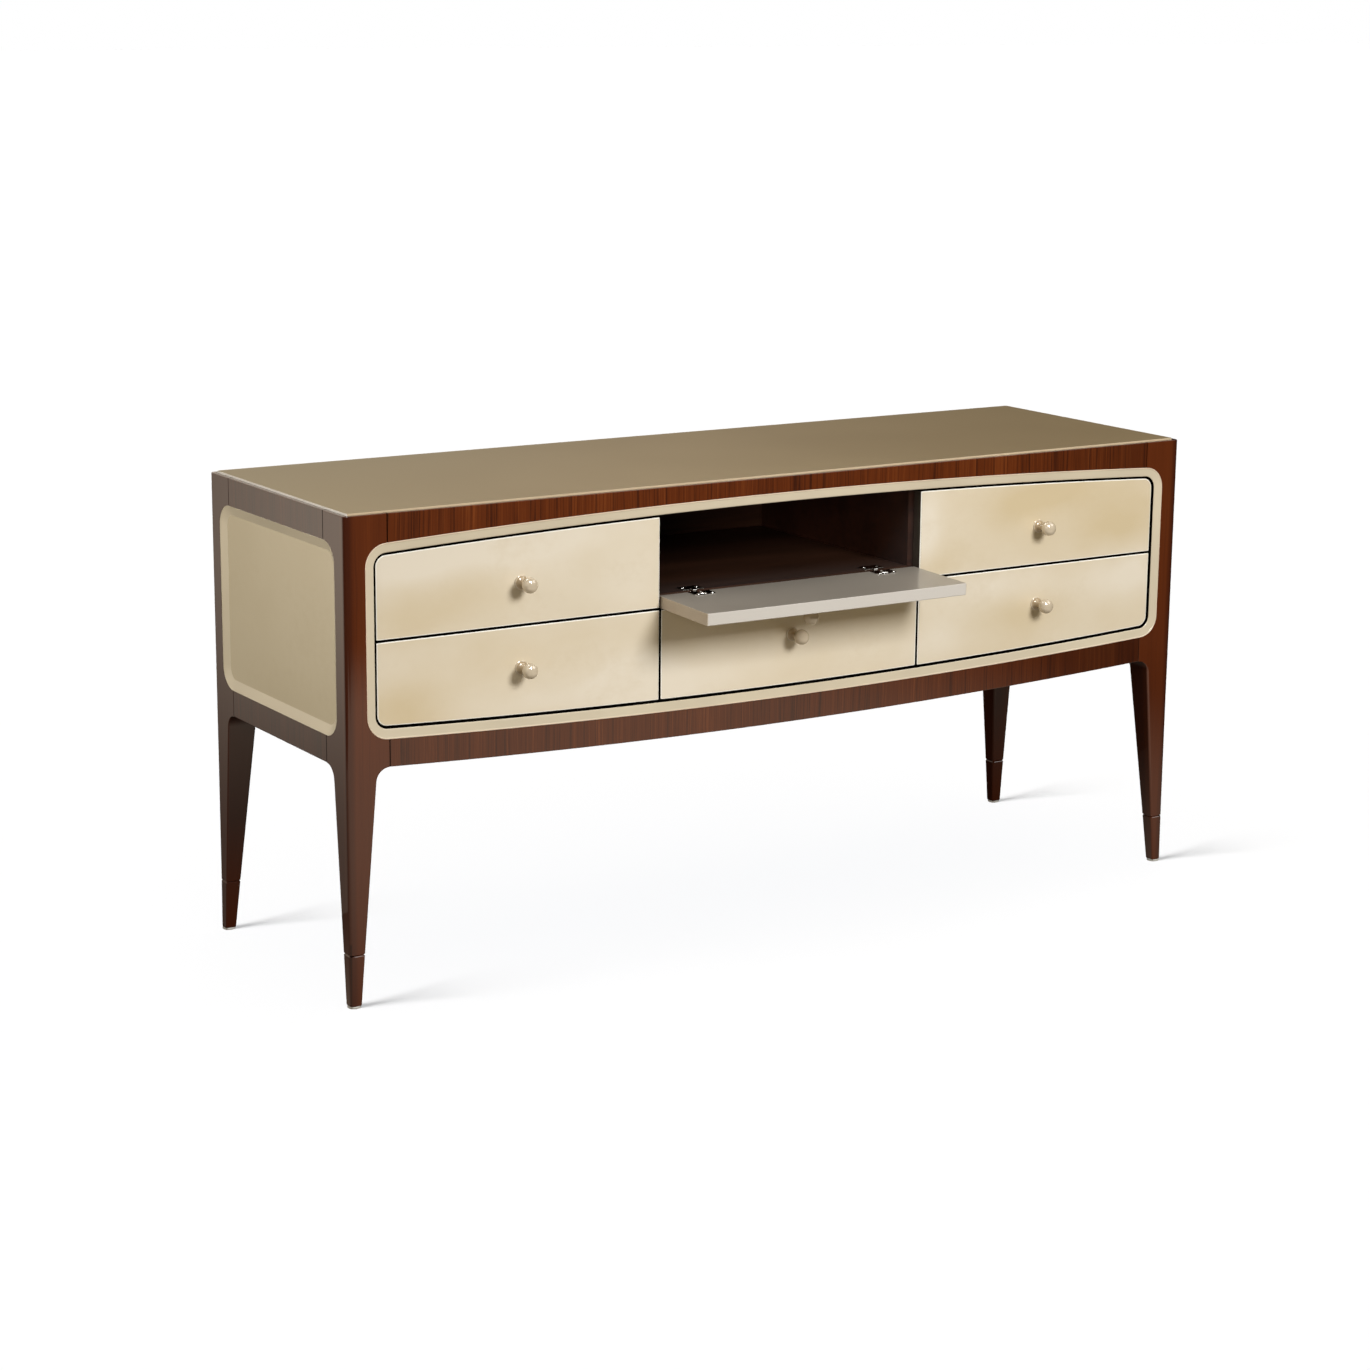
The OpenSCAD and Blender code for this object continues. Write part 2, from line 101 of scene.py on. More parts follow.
def shell(name, grids, finishes, tube=False, bands=None, turn_at=35):
    """A closed mesh of one or more grids of points. Point j of row i joins point j + 1 and row i + 1, and
    the last point of a row joins its first. The end rows are closed flat, or joined to each other in a
    tube. bands gives the finish of each strip between rows, then of the first and last face. Edges that
    turn by more are kept crisp."""
    points, faces, kinds = [], [], []
    for grid in grids:
        rows, columns = grid.shape[:2]
        index = np.arange(rows * columns).reshape(rows, columns) + sum(map(len, points))
        points.append(grid.reshape(-1, 3))
        rings = np.vstack([index, index[:1]]) if tube else index
        ahead = np.roll(rings, -1, axis=1)
        quads = np.stack([rings[:-1], ahead[:-1], ahead[1:], rings[1:]], axis=-1)
        faces += quads.reshape(-1, 4).tolist()
        strips = len(quads)
        chosen = bands or [0] * (strips + 2)
        kinds += np.repeat(chosen[:strips], columns).tolist()
        if not tube:
            faces += [index[0, ::-1].tolist(), index[-1].tolist()]
            kinds += chosen[-2:]
    mesh = bpy.data.meshes.new(name)
    mesh.from_pydata(np.vstack(points), [], faces)
    mesh.polygons.foreach_set("material_index", kinds)
    work = bmesh.new()
    work.from_mesh(mesh)
    bmesh.ops.dissolve_degenerate(work, edges=work.edges, dist=1e-7)
    if work.calc_volume(signed=True) < 0:
        bmesh.ops.reverse_faces(work, faces=work.faces)
    work.to_mesh(mesh)
    work.free()
    mesh.shade_smooth()
    mesh.set_sharp_from_angle(angle=math.radians(turn_at))
    for finish in finishes:
        mesh.materials.append(finish)
    piece = bpy.data.objects.new(name, mesh)
    bpy.context.scene.collection.objects.link(piece)
    even = piece.modifiers.new("even_shading", "WEIGHTED_NORMAL")
    even.keep_sharp = True
    return piece


def settle(piece, body, slot, *nodes):
    """Hangs a finished piece on its body and hides the solids that it stands for. slot is not used."""
    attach(piece, body)
    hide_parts(*nodes)
    return piece


class Wire:
    """One output of a shader node. An expression on it adds the Math nodes that work it out."""

    def __init__(self, finish, socket):
        self.finish = finish
        self.socket = socket

    def __add__(self, other):
        return self.finish.maths("ADD", self, other)

    def __radd__(self, other):
        return self.finish.maths("ADD", other, self)

    def __sub__(self, other):
        return self.finish.maths("SUBTRACT", self, other)

    def __rsub__(self, other):
        return self.finish.maths("SUBTRACT", other, self)

    def __mul__(self, other):
        return self.finish.maths("MULTIPLY", self, other)

    def __rmul__(self, other):
        return self.finish.maths("MULTIPLY", other, self)

    def __truediv__(self, other):
        return self.finish.maths("DIVIDE", self, other)

    def __pow__(self, other):
        return self.finish.maths("POWER", self, other)


class Finish:
    """The node tree of one finish. node() adds any kind of node, with its settings first."""

    def __init__(self, owner):
        owner.use_nodes = True
        self.owner = owner
        self.tree = owner.node_tree
        self.tree.nodes.clear()

    def node(self, kind, settings, sockets, output=0):
        made = self.tree.nodes.new("ShaderNode" + kind)
        for key, value in settings.items():
            if key == "stops":
                ramp = made.color_ramp
                ramp.interpolation = "EASE"
                while len(ramp.elements) < len(value):
                    ramp.elements.new(0.5)
                for element, (position, colour) in zip(ramp.elements, value):
                    element.position = position
                    element.color = colour
            else:
                setattr(made, key, value)
        for key, value in sockets.items():
            if isinstance(value, Wire):
                self.tree.links.new(value.socket, made.inputs[key])
            else:
                made.inputs[key].default_value = value
        return Wire(self, made.outputs[output]) if made.outputs else None

    def maths(self, operation, *terms):
        return self.node("Math", {"operation": operation}, dict(enumerate(terms)))

    def mix(self, share, first, second):
        """first where share is 0, second where it is 1."""
        return self.node("Mix", {"data_type": "RGBA"}, {0: share, 6: first, 7: second}, 2)

    def steps(self, value, low, high):
        """0 below low, 1 above high, and a smooth rise between them."""
        settings = {"interpolation_type": "SMOOTHSTEP"}
        return self.node("MapRange", settings, {"Value": value, "From Min": low, "From Max": high})

    def noise(self, vector, scale, detail=3.0, roughness=0.5):
        sockets = {"Vector": vector, "Scale": scale, "Detail": detail, "Roughness": roughness}
        return self.node("TexNoise", {}, sockets)

    def place(self):
        """The piece's own x, y and z, in metres."""
        point = self.node("TexCoord", {}, {}, 3)
        return point, [self.node("SeparateXYZ", {}, {0: point}, axis) for axis in range(3)]

    def vector(self, x, y, z):
        return self.node("CombineXYZ", {}, {0: x, 1: y, 2: z})

    def close(self, **sockets):
        """Ends the tree in a Principled shader; an underscore in a name stands for a space."""
        named = {key.replace("_", " "): value for key, value in sockets.items()}
        shader = self.node("BsdfPrincipled", {}, named)
        self.node("OutputMaterial", {}, {"Surface": shader})
        return self.owner


def colour(red, green, blue):
    """A picture colour from 0 to 255 as the linear one that shaders use."""
    return *(((c / 255 + 0.055) / 1.055) ** 2.4 if c > 10 else c / 3295 for c in (red, green, blue)), 1.0


def rosewood(name, dark, mid, light, streak, leaf_width, painted_shade=None):
    """Polished rosewood with its grain upright on every face. Across the grain the pattern follows x + y,
    so that it passes round a corner. Noises stretched along z make broad figure, streaks, thin dark
    threads and pores; leaf_width is that of a leaf of veneer, or 0 for solid wood. The last argument
    gives the share of the dark tone that is painted over all this as shade, from the piece's own x, y and z."""
    wood = Finish(bpy.data.materials.new(name))
    _, (x, y, z) = wood.place()
    across = x + y
    wander = wood.noise(wood.vector(across * 5.0, 0.0, z * 6.0), 1.0, 2.0) - 0.5
    bent = across + wander * 0.009
    figure = wood.noise(wood.vector(bent * 24.0, 0.0, z * 1.2), 1.0, 3.0)
    streaks = wood.noise(wood.vector(bent * 330.0, 3.0, z * 4.0), 1.0, 4.0, 0.65)
    threads = wood.noise(wood.vector(bent * 170.0, 8.0, z * 2.2), 1.0, 3.0, 0.55)
    pores = wood.noise(wood.vector(bent * 900.0, 7.0, z * 22.0), 1.0, 2.0, 0.6)
    tone = figure * 0.42 + streaks * streak + pores * 0.14
    if leaf_width:
        leaf = bent / leaf_width
        shade = wood.node("TexWhiteNoise", {"noise_dimensions": "1D"}, {"W": wood.maths("FLOOR", leaf)})
        seam = wood.steps(wood.maths("PINGPONG", leaf, 0.5), 0.004, 0.014)
        tone = tone + shade * 0.09 - 0.045
    middle = (0.42 + streak + 0.14) / 2
    ramp = [(0.0, dark), (0.5, mid), (1.0, light)]
    base = wood.node("ValToRGB", {"stops": ramp}, {"Fac": (tone - middle) * 2.2 + 0.5})
    base = wood.mix(wood.steps(threads, 0.55, 0.66) * streak, base, dark)
    if leaf_width:
        base = wood.mix(seam * 0.5 + 0.5, (0.010, 0.003, 0.001, 1.0), base)
    # Painted shade: the dark tone laid over the grain where less light falls.
    if painted_shade:
        base = wood.mix(painted_shade(wood, x, y, z), base, dark)
    relief = pores * 0.6 + streaks * 0.4
    bump = wood.node("Bump", {}, {"Height": relief, "Strength": 0.05, "Distance": 0.0004})
    return wood.close(
        Base_Color=base,
        Roughness=0.36 + streaks * 0.1,
        Normal=bump,
        Coat_Weight=1.0,
        Coat_Roughness=0.03,
        Specular_IOR_Level=0.15,
    )


def post_painted_shade(wood, x, y, z):
    """Painted shade on the posts: they are painted darker along their outer corner, which reflects dark
    surroundings, on all faces but the front posts' front faces, which get more light, and towards the foot,
    where less light falls.
    """
    to_side = HALF_WIDTH - wood.maths("ABSOLUTE", x)
    to_front = DEPTH / 2 - wood.maths("ABSOLUTE", y - (FRONT + DEPTH / 2))
    corner = wood.steps(to_side + to_front, 0.022, 0.007)
    sides = wood.steps(y, FRONT + 0.003, FRONT + 0.02)
    foot = wood.steps(z, 0.6, 0.3) * 0.45
    return wood.maths("MAXIMUM", wood.maths("MAXIMUM", corner, sides), foot)


POST_WOOD = rosewood(
    "post_rosewood", colour(65, 25, 7), colour(90, 39, 11), colour(114, 54, 17), 0.3, 0.0, post_painted_shade
)


def post(name, right, rear):
    """Rows of a six-cornered section from the foot to the rim. Below the rail the section is a square
    that widens with height and ends in a quarter-round fillet; above it is an L whose arms narrow by the
    opening's corner arc. inset draws the square's faces in at the score and the toe, and edge the L's
    outer faces at the top."""
    arc = np.linspace(0, math.pi / 2, 9)
    curve = np.concatenate([-np.sin(arc[::-1]), np.sin(arc)])
    corner_z = (OPEN_HIGH - OPEN_LOW) / 2 - OPEN_RADIUS
    opening_z = OPEN_MIDDLE + np.sign(curve) * corner_z + OPEN_RADIUS * curve
    arm = POST - OPEN_RADIUS * np.sqrt(1 - curve**2)
    score = SCORE_Z + SCORE_DEEP * np.array([-1.4, -1.0, 0.0, 1.0, 1.4])
    taper_top = RAIL_LOW - FILLET
    toe = FOOT_Z + np.array([0.0, CRISP, LOW_ROUND])
    leg_z = np.concatenate(
        [
            toe,
            np.linspace(0.03, 0.08, 3),
            score,
            np.linspace(0.12, taper_top, 8),
            taper_top + FILLET * np.sin(arc[1:]),
        ]
    )
    fillet = np.clip((leg_z - taper_top) / FILLET, 0, 1)
    taper = np.clip((leg_z - FOOT_Z) / (taper_top - FOOT_Z), 0, 1)
    width = FOOT_WIDTH + (LEG_WIDTH - FOOT_WIDTH) * taper + FILLET * (1 - np.sqrt(1 - fillet**2))
    inset = np.interp(leg_z, toe, [0.0014, 0.0005, 0.0])
    inset = inset + np.interp(leg_z, score[1:4], [0.0, SCORE_DEEP, 0.0])
    far = width - inset
    half = width / 2
    square = corner_rows((inset, inset), (far, inset), (far, half), (far, far), (half, far), (inset, far))
    outer = np.interp(leg_z, [FOOT_Z, 0.1, 0.3], [0.006, 0.008, ARRIS])
    inner = np.interp(leg_z, [FOOT_Z, 0.1, taper_top, RAIL_LOW], [0.003, 0.004, 0.004, 0.0006])
    square_radii = np.stack([outer, inner, 0 * outer, inner, 0 * outer, inner], axis=1)
    rim = np.array([RIM_ROUND, 0.0005, 0.0])
    post_z = np.concatenate([[RAIL_LOW], opening_z, TOP - rim, [TOP, TOP - REBATE_DEEP]])
    edge = np.concatenate([np.zeros(len(opening_z) + 1), [0.0, 0.0004, RIM_ROUND, REBATE - 0.0003, REBATE]])
    arm = np.concatenate([[POST], arm, np.full(5, POST)])
    # The inner corner stays a millimetre clear of the arms' ends, so that every edge has a length.
    back = np.full(len(post_z), STILE - 0.001)
    ell = corner_rows((edge, edge), (arm, edge), (arm, back), (back, back), (back, arm), (edge, arm))
    outer = np.maximum(ARRIS - edge, RIM_ROUND)
    small = np.full(len(post_z), CRISP)
    ell_radii = np.stack([outer, small, small, small, small, small], axis=1)
    plan = rounded(np.concatenate([square, ell]), np.concatenate([square_radii, ell_radii]), 6)
    height = np.concatenate([leg_z, post_z])
    x = (HALF_WIDTH - plan[..., 0]) * (1 if right else -1)
    y = FRONT + (DEPTH - plan[..., 1] if rear else plan[..., 1])
    z = np.broadcast_to(height[:, None], x.shape)
    return shell(name, [np.stack([x, y, z], axis=-1)], [POST_WOOD])


for node, right, rear in (
    ("leg_front_left", False, False),
    ("leg_front_right", True, False),
    ("leg_rear_left", False, True),
    ("leg_rear_right", True, True),
):
    settle(post(node.replace("leg", "post"), right, rear), "cabinet", "veneer", node)


# Rails. Boards veneered in rosewood with the grain upright, arched along the front and straight along the
# sides and back. The top ones are rebated for the glass, and leave a thin rim of wood round it.

ARCH = 0.0205
FRONT_HALF = HALF_WIDTH - POST
SIDE_HALF = DEPTH / 2 - POST
RAIL = 0.022
JOINT = 0.0016
JOINT_DEEP = 0.0022


def plain(name, base, roughness, mottle, scale, coat=0.0, metallic=0.0, **more):
    """A smooth finish whose tone drifts a little over the surface, from soft noise, with a faint orange
    peel."""
    made = Finish(bpy.data.materials.new(name))
    point, _ = made.place()
    drift = made.steps(made.noise(point, scale, 3.0), 0.35, 0.65)
    darker = tuple(c * (1 - mottle) for c in base[:3]) + (1.0,)
    lighter = tuple(min(1.0, c * (1 + mottle)) for c in base[:3]) + (1.0,)
    peel = made.noise(point, 260.0, 2.0)
    bump = made.node("Bump", {}, {"Height": peel, "Strength": 0.02, "Distance": 0.0003})
    return made.close(
        Base_Color=made.mix(drift, darker, lighter),
        Roughness=roughness + drift * roughness * 0.3,
        Normal=bump,
        Coat_Weight=coat,
        Coat_Roughness=0.05,
        Metallic=metallic,
        **more,
    )


# Near black and without shine: painted shade in the joint grooves.
JOINT_PAINTED_SHADE = plain("joint_painted_shade", colour(14, 7, 4), 0.8, 0.1, 30.0, Specular_IOR_Level=0.0)


def veneer_painted_shade(wood, x, y, z):
    """Painted shade on the front rails: the lower rail is painted darker than the top one, and both darker
    towards the right end.
    """
    lower = wood.steps(z, 0.6, 0.45) * 0.35
    right = wood.steps(x, 0.45, 0.8) * (lower * 0.6 + 0.38)
    return 1.0 - (1.0 - lower) * (1.0 - right)


VENEER = rosewood(
    "veneer_rosewood", colour(46, 16, 5), colour(93, 40, 9), colour(124, 62, 23), 0.7, 0.083, veneer_painted_shade
)
# A darker copy of the rosewood for the side and back rails: painted shade on faces that get less light.
SIDE_VENEER_PAINTED_SHADE = rosewood(
    "side_rosewood_painted_shade", colour(40, 16, 8), colour(66, 29, 14), colour(88, 44, 24), 0.6, 0.083
)


def rise(x):
    """How far an arched edge bows at x, up at the top and down at the bottom: a parabola, ARCH at the
    middle."""
    return ARCH * (1 - (x / FRONT_HALF) ** 2)


def rail(half, arch, low, high, rebated, place):
    """A rail as rows of its section, one for each distance along it, from -half to half. The section's
    corners are given as a depth behind the outer face and a height. In an arched rail the lower edge of a
    rebated one goes up by rise, and both edges of a plain one go down by it. The last two rows at each
    end are stepped back, which leaves the joint groove beside the post. place turns distance, depth and
    height to points."""
    ends = half - np.array([0.0, JOINT, JOINT + 0.0002])
    between = np.linspace(-half, half, 65)[1:-1] if arch else []
    along = np.concatenate([-ends, between, ends[::-1]])
    step = np.where(np.abs(along) > half - JOINT - 0.0001, JOINT_DEEP, 0.0)
    over = rise(along) * arch
    flat = np.zeros_like(along)
    if rebated:
        deep = [step, step, flat + REBATE, flat + REBATE, flat + RAIL, flat + RAIL]
        low, high = low + over, high + flat
        tall = [low, high - step, high - step, high - REBATE_DEEP, high - REBATE_DEEP, low]
        radii = [CRISP, RIM_ROUND, CRISP, CRISP, CRISP, CRISP]
    else:
        deep = [step, step, flat + RAIL, flat + RAIL]
        low, high = low - over, high - over
        tall = [low + step, high, high, low + step]
        radii = [LOW_ROUND, CRISP, CRISP, LOW_ROUND]
    section = rounded(corner_rows(*zip(deep, tall)), np.array(radii), 5)
    run = np.broadcast_to(along[:, None], section.shape[:2])
    return np.stack(np.broadcast_arrays(*place(run, section[..., 0], section[..., 1])), axis=-1)


def rails(name, grids, veneer):
    """Rails with their joint grooves painted nearly black: painted shade in the grooves."""
    strips = len(grids[0]) - 1
    return shell(name, grids, [veneer, JOINT_PAINTED_SHADE], bands=[1, 1] + [0] * (strips - 4) + [1, 1, 1, 1])


def in_front(run, deep, tall):
    return run, FRONT + deep, tall


def behind(run, deep, tall):
    return run, FRONT + DEPTH - deep, tall


def at_left(run, deep, tall):
    return deep - HALF_WIDTH, FRONT + DEPTH / 2 + run, tall


def at_right(run, deep, tall):
    return HALF_WIDTH - deep, FRONT + DEPTH / 2 + run, tall


settle(
    rails("rail_front_top", [rail(FRONT_HALF, 1, OPEN_HIGH, TOP, True, in_front)], VENEER),
    "cabinet", "veneer", "front_top_rail",
)
settle(
    rails("rail_front_bottom", [rail(FRONT_HALF, 1, RAIL_LOW, OPEN_LOW, False, in_front)], VENEER),
    "cabinet", "veneer", "front_bottom_rail",
)
tiers = ((OPEN_HIGH, TOP, True), (RAIL_LOW, OPEN_LOW, False))
back_pair = [rail(FRONT_HALF, 0, *tier, behind) for tier in tiers]
settle(rails("rails_back", back_pair, SIDE_VENEER_PAINTED_SHADE), "cabinet", "veneer", "back_rails")
side_four = [rail(SIDE_HALF, 0, *tier, place) for tier in tiers for place in (at_left, at_right)]
settle(rails("rails_side", side_four, SIDE_VENEER_PAINTED_SHADE), "cabinet", "veneer", "side_rails")


# Glides. Four pale plastic pads nailed under the feet, with a rounded edge against the floor.

GLIDE_PLASTIC = plain("glide_plastic", colour(205, 203, 198), 0.45, 0.05, 40.0)


def lifted(flat, height):
    """Rows of flat points, each row at its own height."""
    tall = np.broadcast_to(height[:, None, None], (*flat.shape[:2], 1))
    return np.concatenate([flat, tall], axis=-1)


def lathe(profile, turns=48):
    """A profile of radius and height, turned once round: one row for each profile point."""
    around = np.linspace(0, 2 * math.pi, turns, endpoint=False)
    radius, height = np.array(profile).T
    ring = np.stack([np.cos(around), np.sin(around)], axis=-1)
    return lifted(radius[:, None, None] * ring[None], height)


pad = lathe([(0.0105, 0.0), (0.0114, 0.0004), (0.01195, 0.0013), (0.01195, 0.0036), (0.0116, FOOT_Z)])
FOOT_X = HALF_WIDTH - FOOT_WIDTH / 2
FOOT_Y = (FRONT + FOOT_WIDTH / 2, FRONT + DEPTH - FOOT_WIDTH / 2)
glides = [pad + np.array([x, y, 0.0]) for x in (-FOOT_X, FOOT_X) for y in FOOT_Y]
settle(shell("glides", glides, [GLIDE_PLASTIC]), "cabinet", "glide_plastic", "foot_glides")


# Front border. A cream lacquered frame set flush in the barrel-shaped opening. Its face slopes back from
# a fine bead beside the rosewood to the fronts, and its corners are round.

BORDER = 0.018
SLOPE = 0.006
PANEL = 0.018
CREAM = plain("border_lacquer", colour(209, 197, 173), 0.3, 0.035, 5.0, coat=0.15)
# The bead is painted a lighter peach: a painted highlight along it.
BEAD_PAINTED_HIGHLIGHT = plain("bead_painted_highlight", colour(226, 206, 182), 0.3, 0.03, 5.0, coat=0.3)
MOUTH_FADE = (0.2858, 0.2848)


def two_tone(name, first, second, where, roughness, specular):
    """An edge's finish in two colours: the second where the mask worked out from x and z is 1."""
    edge = Finish(bpy.data.materials.new(name))
    point, (x, _, z) = edge.place()
    drift = edge.noise(point, 30.0) * 0.3
    return edge.close(
        Base_Color=edge.mix(where(edge, x, z) * (1.0 - drift), first, second),
        Roughness=roughness + drift * 0.3,
        Specular_IOR_Level=specular,
    )


def beside_mouth(edge, x, z):
    """1 beside the mouth of the compartment, where the fronts' inner edges and the border take painted light
    from the open mouth instead of the painted gap shade.
    """
    near = edge.steps(edge.maths("ABSOLUTE", x), *MOUTH_FADE)
    return near * edge.steps(z, OPEN_MIDDLE, OPEN_MIDDLE + 0.003)


# Near black on edges that face into the gaps, as painted shade, and grey beside the compartment's mouth, as
# painted light.
GAP_EDGE_PAINTED_SHADE = two_tone("gap_edge_painted_shade", colour(9, 6, 4), colour(88, 79, 72), beside_mouth, 0.8, 0.0)


def opening(half, inset, arch, arch_steps=40, corner_steps=12):
    """The opening's outline, one row for each inset: a parabola over the middle, then an arc of the
    corner radius less the inset, tangent to it, down to the side; that quarter is mirrored to the other
    three. Gives x and z from the opening's middle."""
    inset = np.atleast_1d(inset)[:, None]
    radius = OPEN_RADIUS - inset
    lean = math.atan(2 * arch / half)
    end_x = half + radius * math.sin(lean)
    edge = (OPEN_HIGH - OPEN_LOW) / 2 - inset
    corner_z = edge + arch * (1 - (end_x / half) ** 2) - radius * math.cos(lean)
    over = end_x * np.linspace(0, 1, arch_steps + 1)
    turn = (math.pi / 2 - lean) * (1 - np.arange(1, corner_steps + 1) / corner_steps)
    x = np.concatenate([over, half + radius * np.cos(turn)], axis=1)
    z = np.concatenate([edge + arch * (1 - (over / half) ** 2), corner_z + radius * np.sin(turn)], axis=1)
    quarter = np.stack([x, z], axis=-1)
    back = quarter[:, :0:-1]
    return np.concatenate([quarter, back * (1, -1), -quarter, back * (-1, 1)], axis=1)


def in_opening(grid):
    """Turns x and z from the opening's middle, and depth behind the front, to points."""
    across, up, deep = np.moveaxis(grid, -1, 0)
    return np.stack([across, FRONT + deep, OPEN_MIDDLE + up], axis=-1)


# The border's section, as inset and depth: back, outer wall, bead, slope, rounded lip and inner wall,
# which is painted near black as painted shade in the gap.
section = np.array(
    [
        (0.0, PANEL),
        (0.0, 0.0003),
        (0.0003, -0.0002),
        (0.0010, -0.0005),
        (0.0017, -0.0003),
        (0.0021, 0.0003),
        (0.0026, 0.0007),
        (0.0040, 0.0010),
        (0.0150, 0.0027),
        (0.0166, 0.0033),
        (0.0174, 0.0041),
        (0.0178, 0.0052),
        (BORDER, 0.0068),
        (BORDER, PANEL),
    ]
)
ring = in_opening(lifted(opening(FRONT_HALF, section[:, 0], ARCH), section[:, 1]))
border_bands = [0, 2, 2, 2] + [0] * 6 + [1] * 4
settle(
    shell("front_border", [ring], [CREAM, GAP_EDGE_PAINTED_SHADE, BEAD_PAINTED_HIGHLIGHT], tube=True, bands=border_bands),
    "cabinet", "cream_lacquer", "border_top", "border_bottom", "border_ends",
)


# Side panels. Boards covered in parchment and lacquered, dished inside the same sloping border.

SIDE_SLOPE = 0.007


def parchment(name, warm, pale, deep, gloss, patches=()):
    """Goatskin parchment under polished lacquer: broad pale and warm clouds over each other, finer
    mottling and sparse deeper spots. patches are round hills of tone, each of x, z, width, height and
    strength, that fade as the exponential of their squared distance: warm below 0, and pale above it,
    partly the skins' own clouds and partly painted sheen where the lamps reflect."""
    skin = Finish(bpy.data.materials.new(name))
    _, (x, y, z) = skin.place()
    broad = skin.noise(skin.vector(x * 2.6, y * 2.6, z * 4.2), 1.0, 2.0, 0.45)
    second = skin.noise(skin.vector(x * 6.0 + 11.0, y * 6.0, z * 9.0), 1.0, 4.0, 0.55)
    fine = skin.noise(skin.vector(x * 45.0, y * 45.0 + 5.0, z * 60.0), 1.0, 4.0, 0.6)
    tone = (broad - 0.5) * 1.1 + (second - 0.5) * 0.7 + 0.5
    for centre_x, centre_z, width, height, strength in patches:
        away = ((x - centre_x) / width) ** 2.0 + ((z - OPEN_MIDDLE - centre_z) / height) ** 2.0
        tone = tone + skin.maths("EXPONENT", away * -1.0) * strength
    spots = skin.steps(second * 0.7 + fine * 0.3, 0.5, 0.72)
    base = skin.mix(tone, warm, pale)
    base = skin.mix(spots * 0.25, base, deep)
    bump = skin.node("Bump", {}, {"Height": fine, "Strength": 0.04, "Distance": 0.0005})
    return skin.close(
        Base_Color=base,
        Roughness=gloss + fine * 0.08,
        Normal=bump,
        Coat_Weight=0.35,
        Coat_Roughness=0.05,
    )


SIDE_SKIN = parchment(
    "side_parchment", colour(210, 194, 158), colour(224, 210, 178), colour(202, 184, 146), 0.2
)
# The side rims are cream lacquer like the front border, painted lighter for the light that their slopes
# catch.
SIDE_CREAM_PAINTED_LIGHT = plain("side_border_painted_light", colour(230, 217, 190), 0.3, 0.03, 5.0, coat=0.3)

section = np.array(
    [
        (0.0, PANEL),
        (0.0, 0.0004),
        (0.0006, 0.0002),
        (0.0012, 0.0006),
        (0.0020, 0.0011),
        (0.0170, 0.0066),
        (0.0176, 0.0069),
        (BORDER, SIDE_SLOPE),
        (0.0200, SIDE_SLOPE),
    ]
)
across, up, deep = np.moveaxis(lifted(opening(SIDE_HALF, section[:, 0], 0.0, 12), section[:, 1]), -1, 0)
for side, sign in (("left", -1), ("right", 1)):
    dish = np.stack([sign * (HALF_WIDTH - deep), FRONT + DEPTH / 2 + across, OPEN_MIDDLE + up], axis=-1)
    settle(
        shell("panel_" + side, [dish], [SIDE_SKIN, SIDE_CREAM_PAINTED_LIGHT], bands=[1] * 7 + [0, 1, 0], turn_at=20),
        "cabinet", "side_parchment", "side_panel_" + side,
    )


# Glass top. Six millimetres of float glass, painted bronze underneath and laid in the rebate. Its
# polished edge shows pale, and its two short edges are painted near white as a highlight.

GLASS_INSET = 0.009
GLASS_RADIUS = 0.004
GLASS_END_FADE = (0.8885, 0.8893)


def painted(name, base, far, deep):
    """Satin-etched glass with paint behind it: the paint's colour drifts a little under a soft sheen, and is
    painted darker towards the rear left corner, as painted shade that tones the sheen there down."""
    glass = Finish(bpy.data.materials.new(name))
    point, (x, y, _) = glass.place()
    cloud = glass.noise(point, 1.4, 2.0)
    drift = glass.mix(glass.steps(cloud, 0.35, 0.65), base, far)
    frost = glass.noise(point, 700.0, 2.0)
    bump = glass.node("Bump", {}, {"Height": frost, "Strength": 0.03, "Distance": 0.0002})
    return glass.close(
        # Painted shade towards the rear left corner.
        Base_Color=glass.mix(glass.steps(x - y * 0.8, -0.1, -1.15), drift, deep),
        Roughness=0.33 + cloud * 0.06,
        Normal=bump,
        Specular_IOR_Level=0.5,
    )


def at_sides(edge, x, z):
    """1 on the two short edges of the glass, which are painted near white as a painted highlight."""
    return edge.steps(edge.maths("ABSOLUTE", x), *GLASS_END_FADE)


GLASS = painted("painted_glass", colour(172, 151, 114), colour(164, 143, 107), colour(147, 130, 92))
# The glass's short edges are painted near white: a painted highlight.
GLASS_EDGE_AND_HIGHLIGHT = two_tone("glass_edge_and_highlight", colour(197, 179, 149), colour(252, 248, 240), at_sides, 0.15, 0.5)

rows = np.array(
    [(0.0004, 0.0), (0.0, 0.0005), (0.0, 0.0052), (0.0003, 0.0057), (0.0009, 0.006), (0.0014, 0.006)]
)
edge_x = HALF_WIDTH - GLASS_INSET - rows[:, 0]
edge_y = DEPTH / 2 - GLASS_INSET - rows[:, 0]
corners = corner_rows((-edge_x, -edge_y), (edge_x, -edge_y), (edge_x, edge_y), (-edge_x, edge_y))
sheet = lifted(rounded(corners, GLASS_RADIUS, 8), TOP - REBATE_DEEP + rows[:, 1])
sheet = sheet + np.array([0.0, FRONT + DEPTH / 2, 0.0])
settle(
    shell("glass", [sheet], [GLASS, GLASS_EDGE_AND_HIGHLIGHT], bands=[1, 1, 1, 1, 0, 1, 0]),
    "cabinet", "painted_glass", "glass_top",
)


# Carcass. Boards, gables, dividers, the compartment floor and the back are dark stained oak veneer, glued
# and screwed together inside the frame.

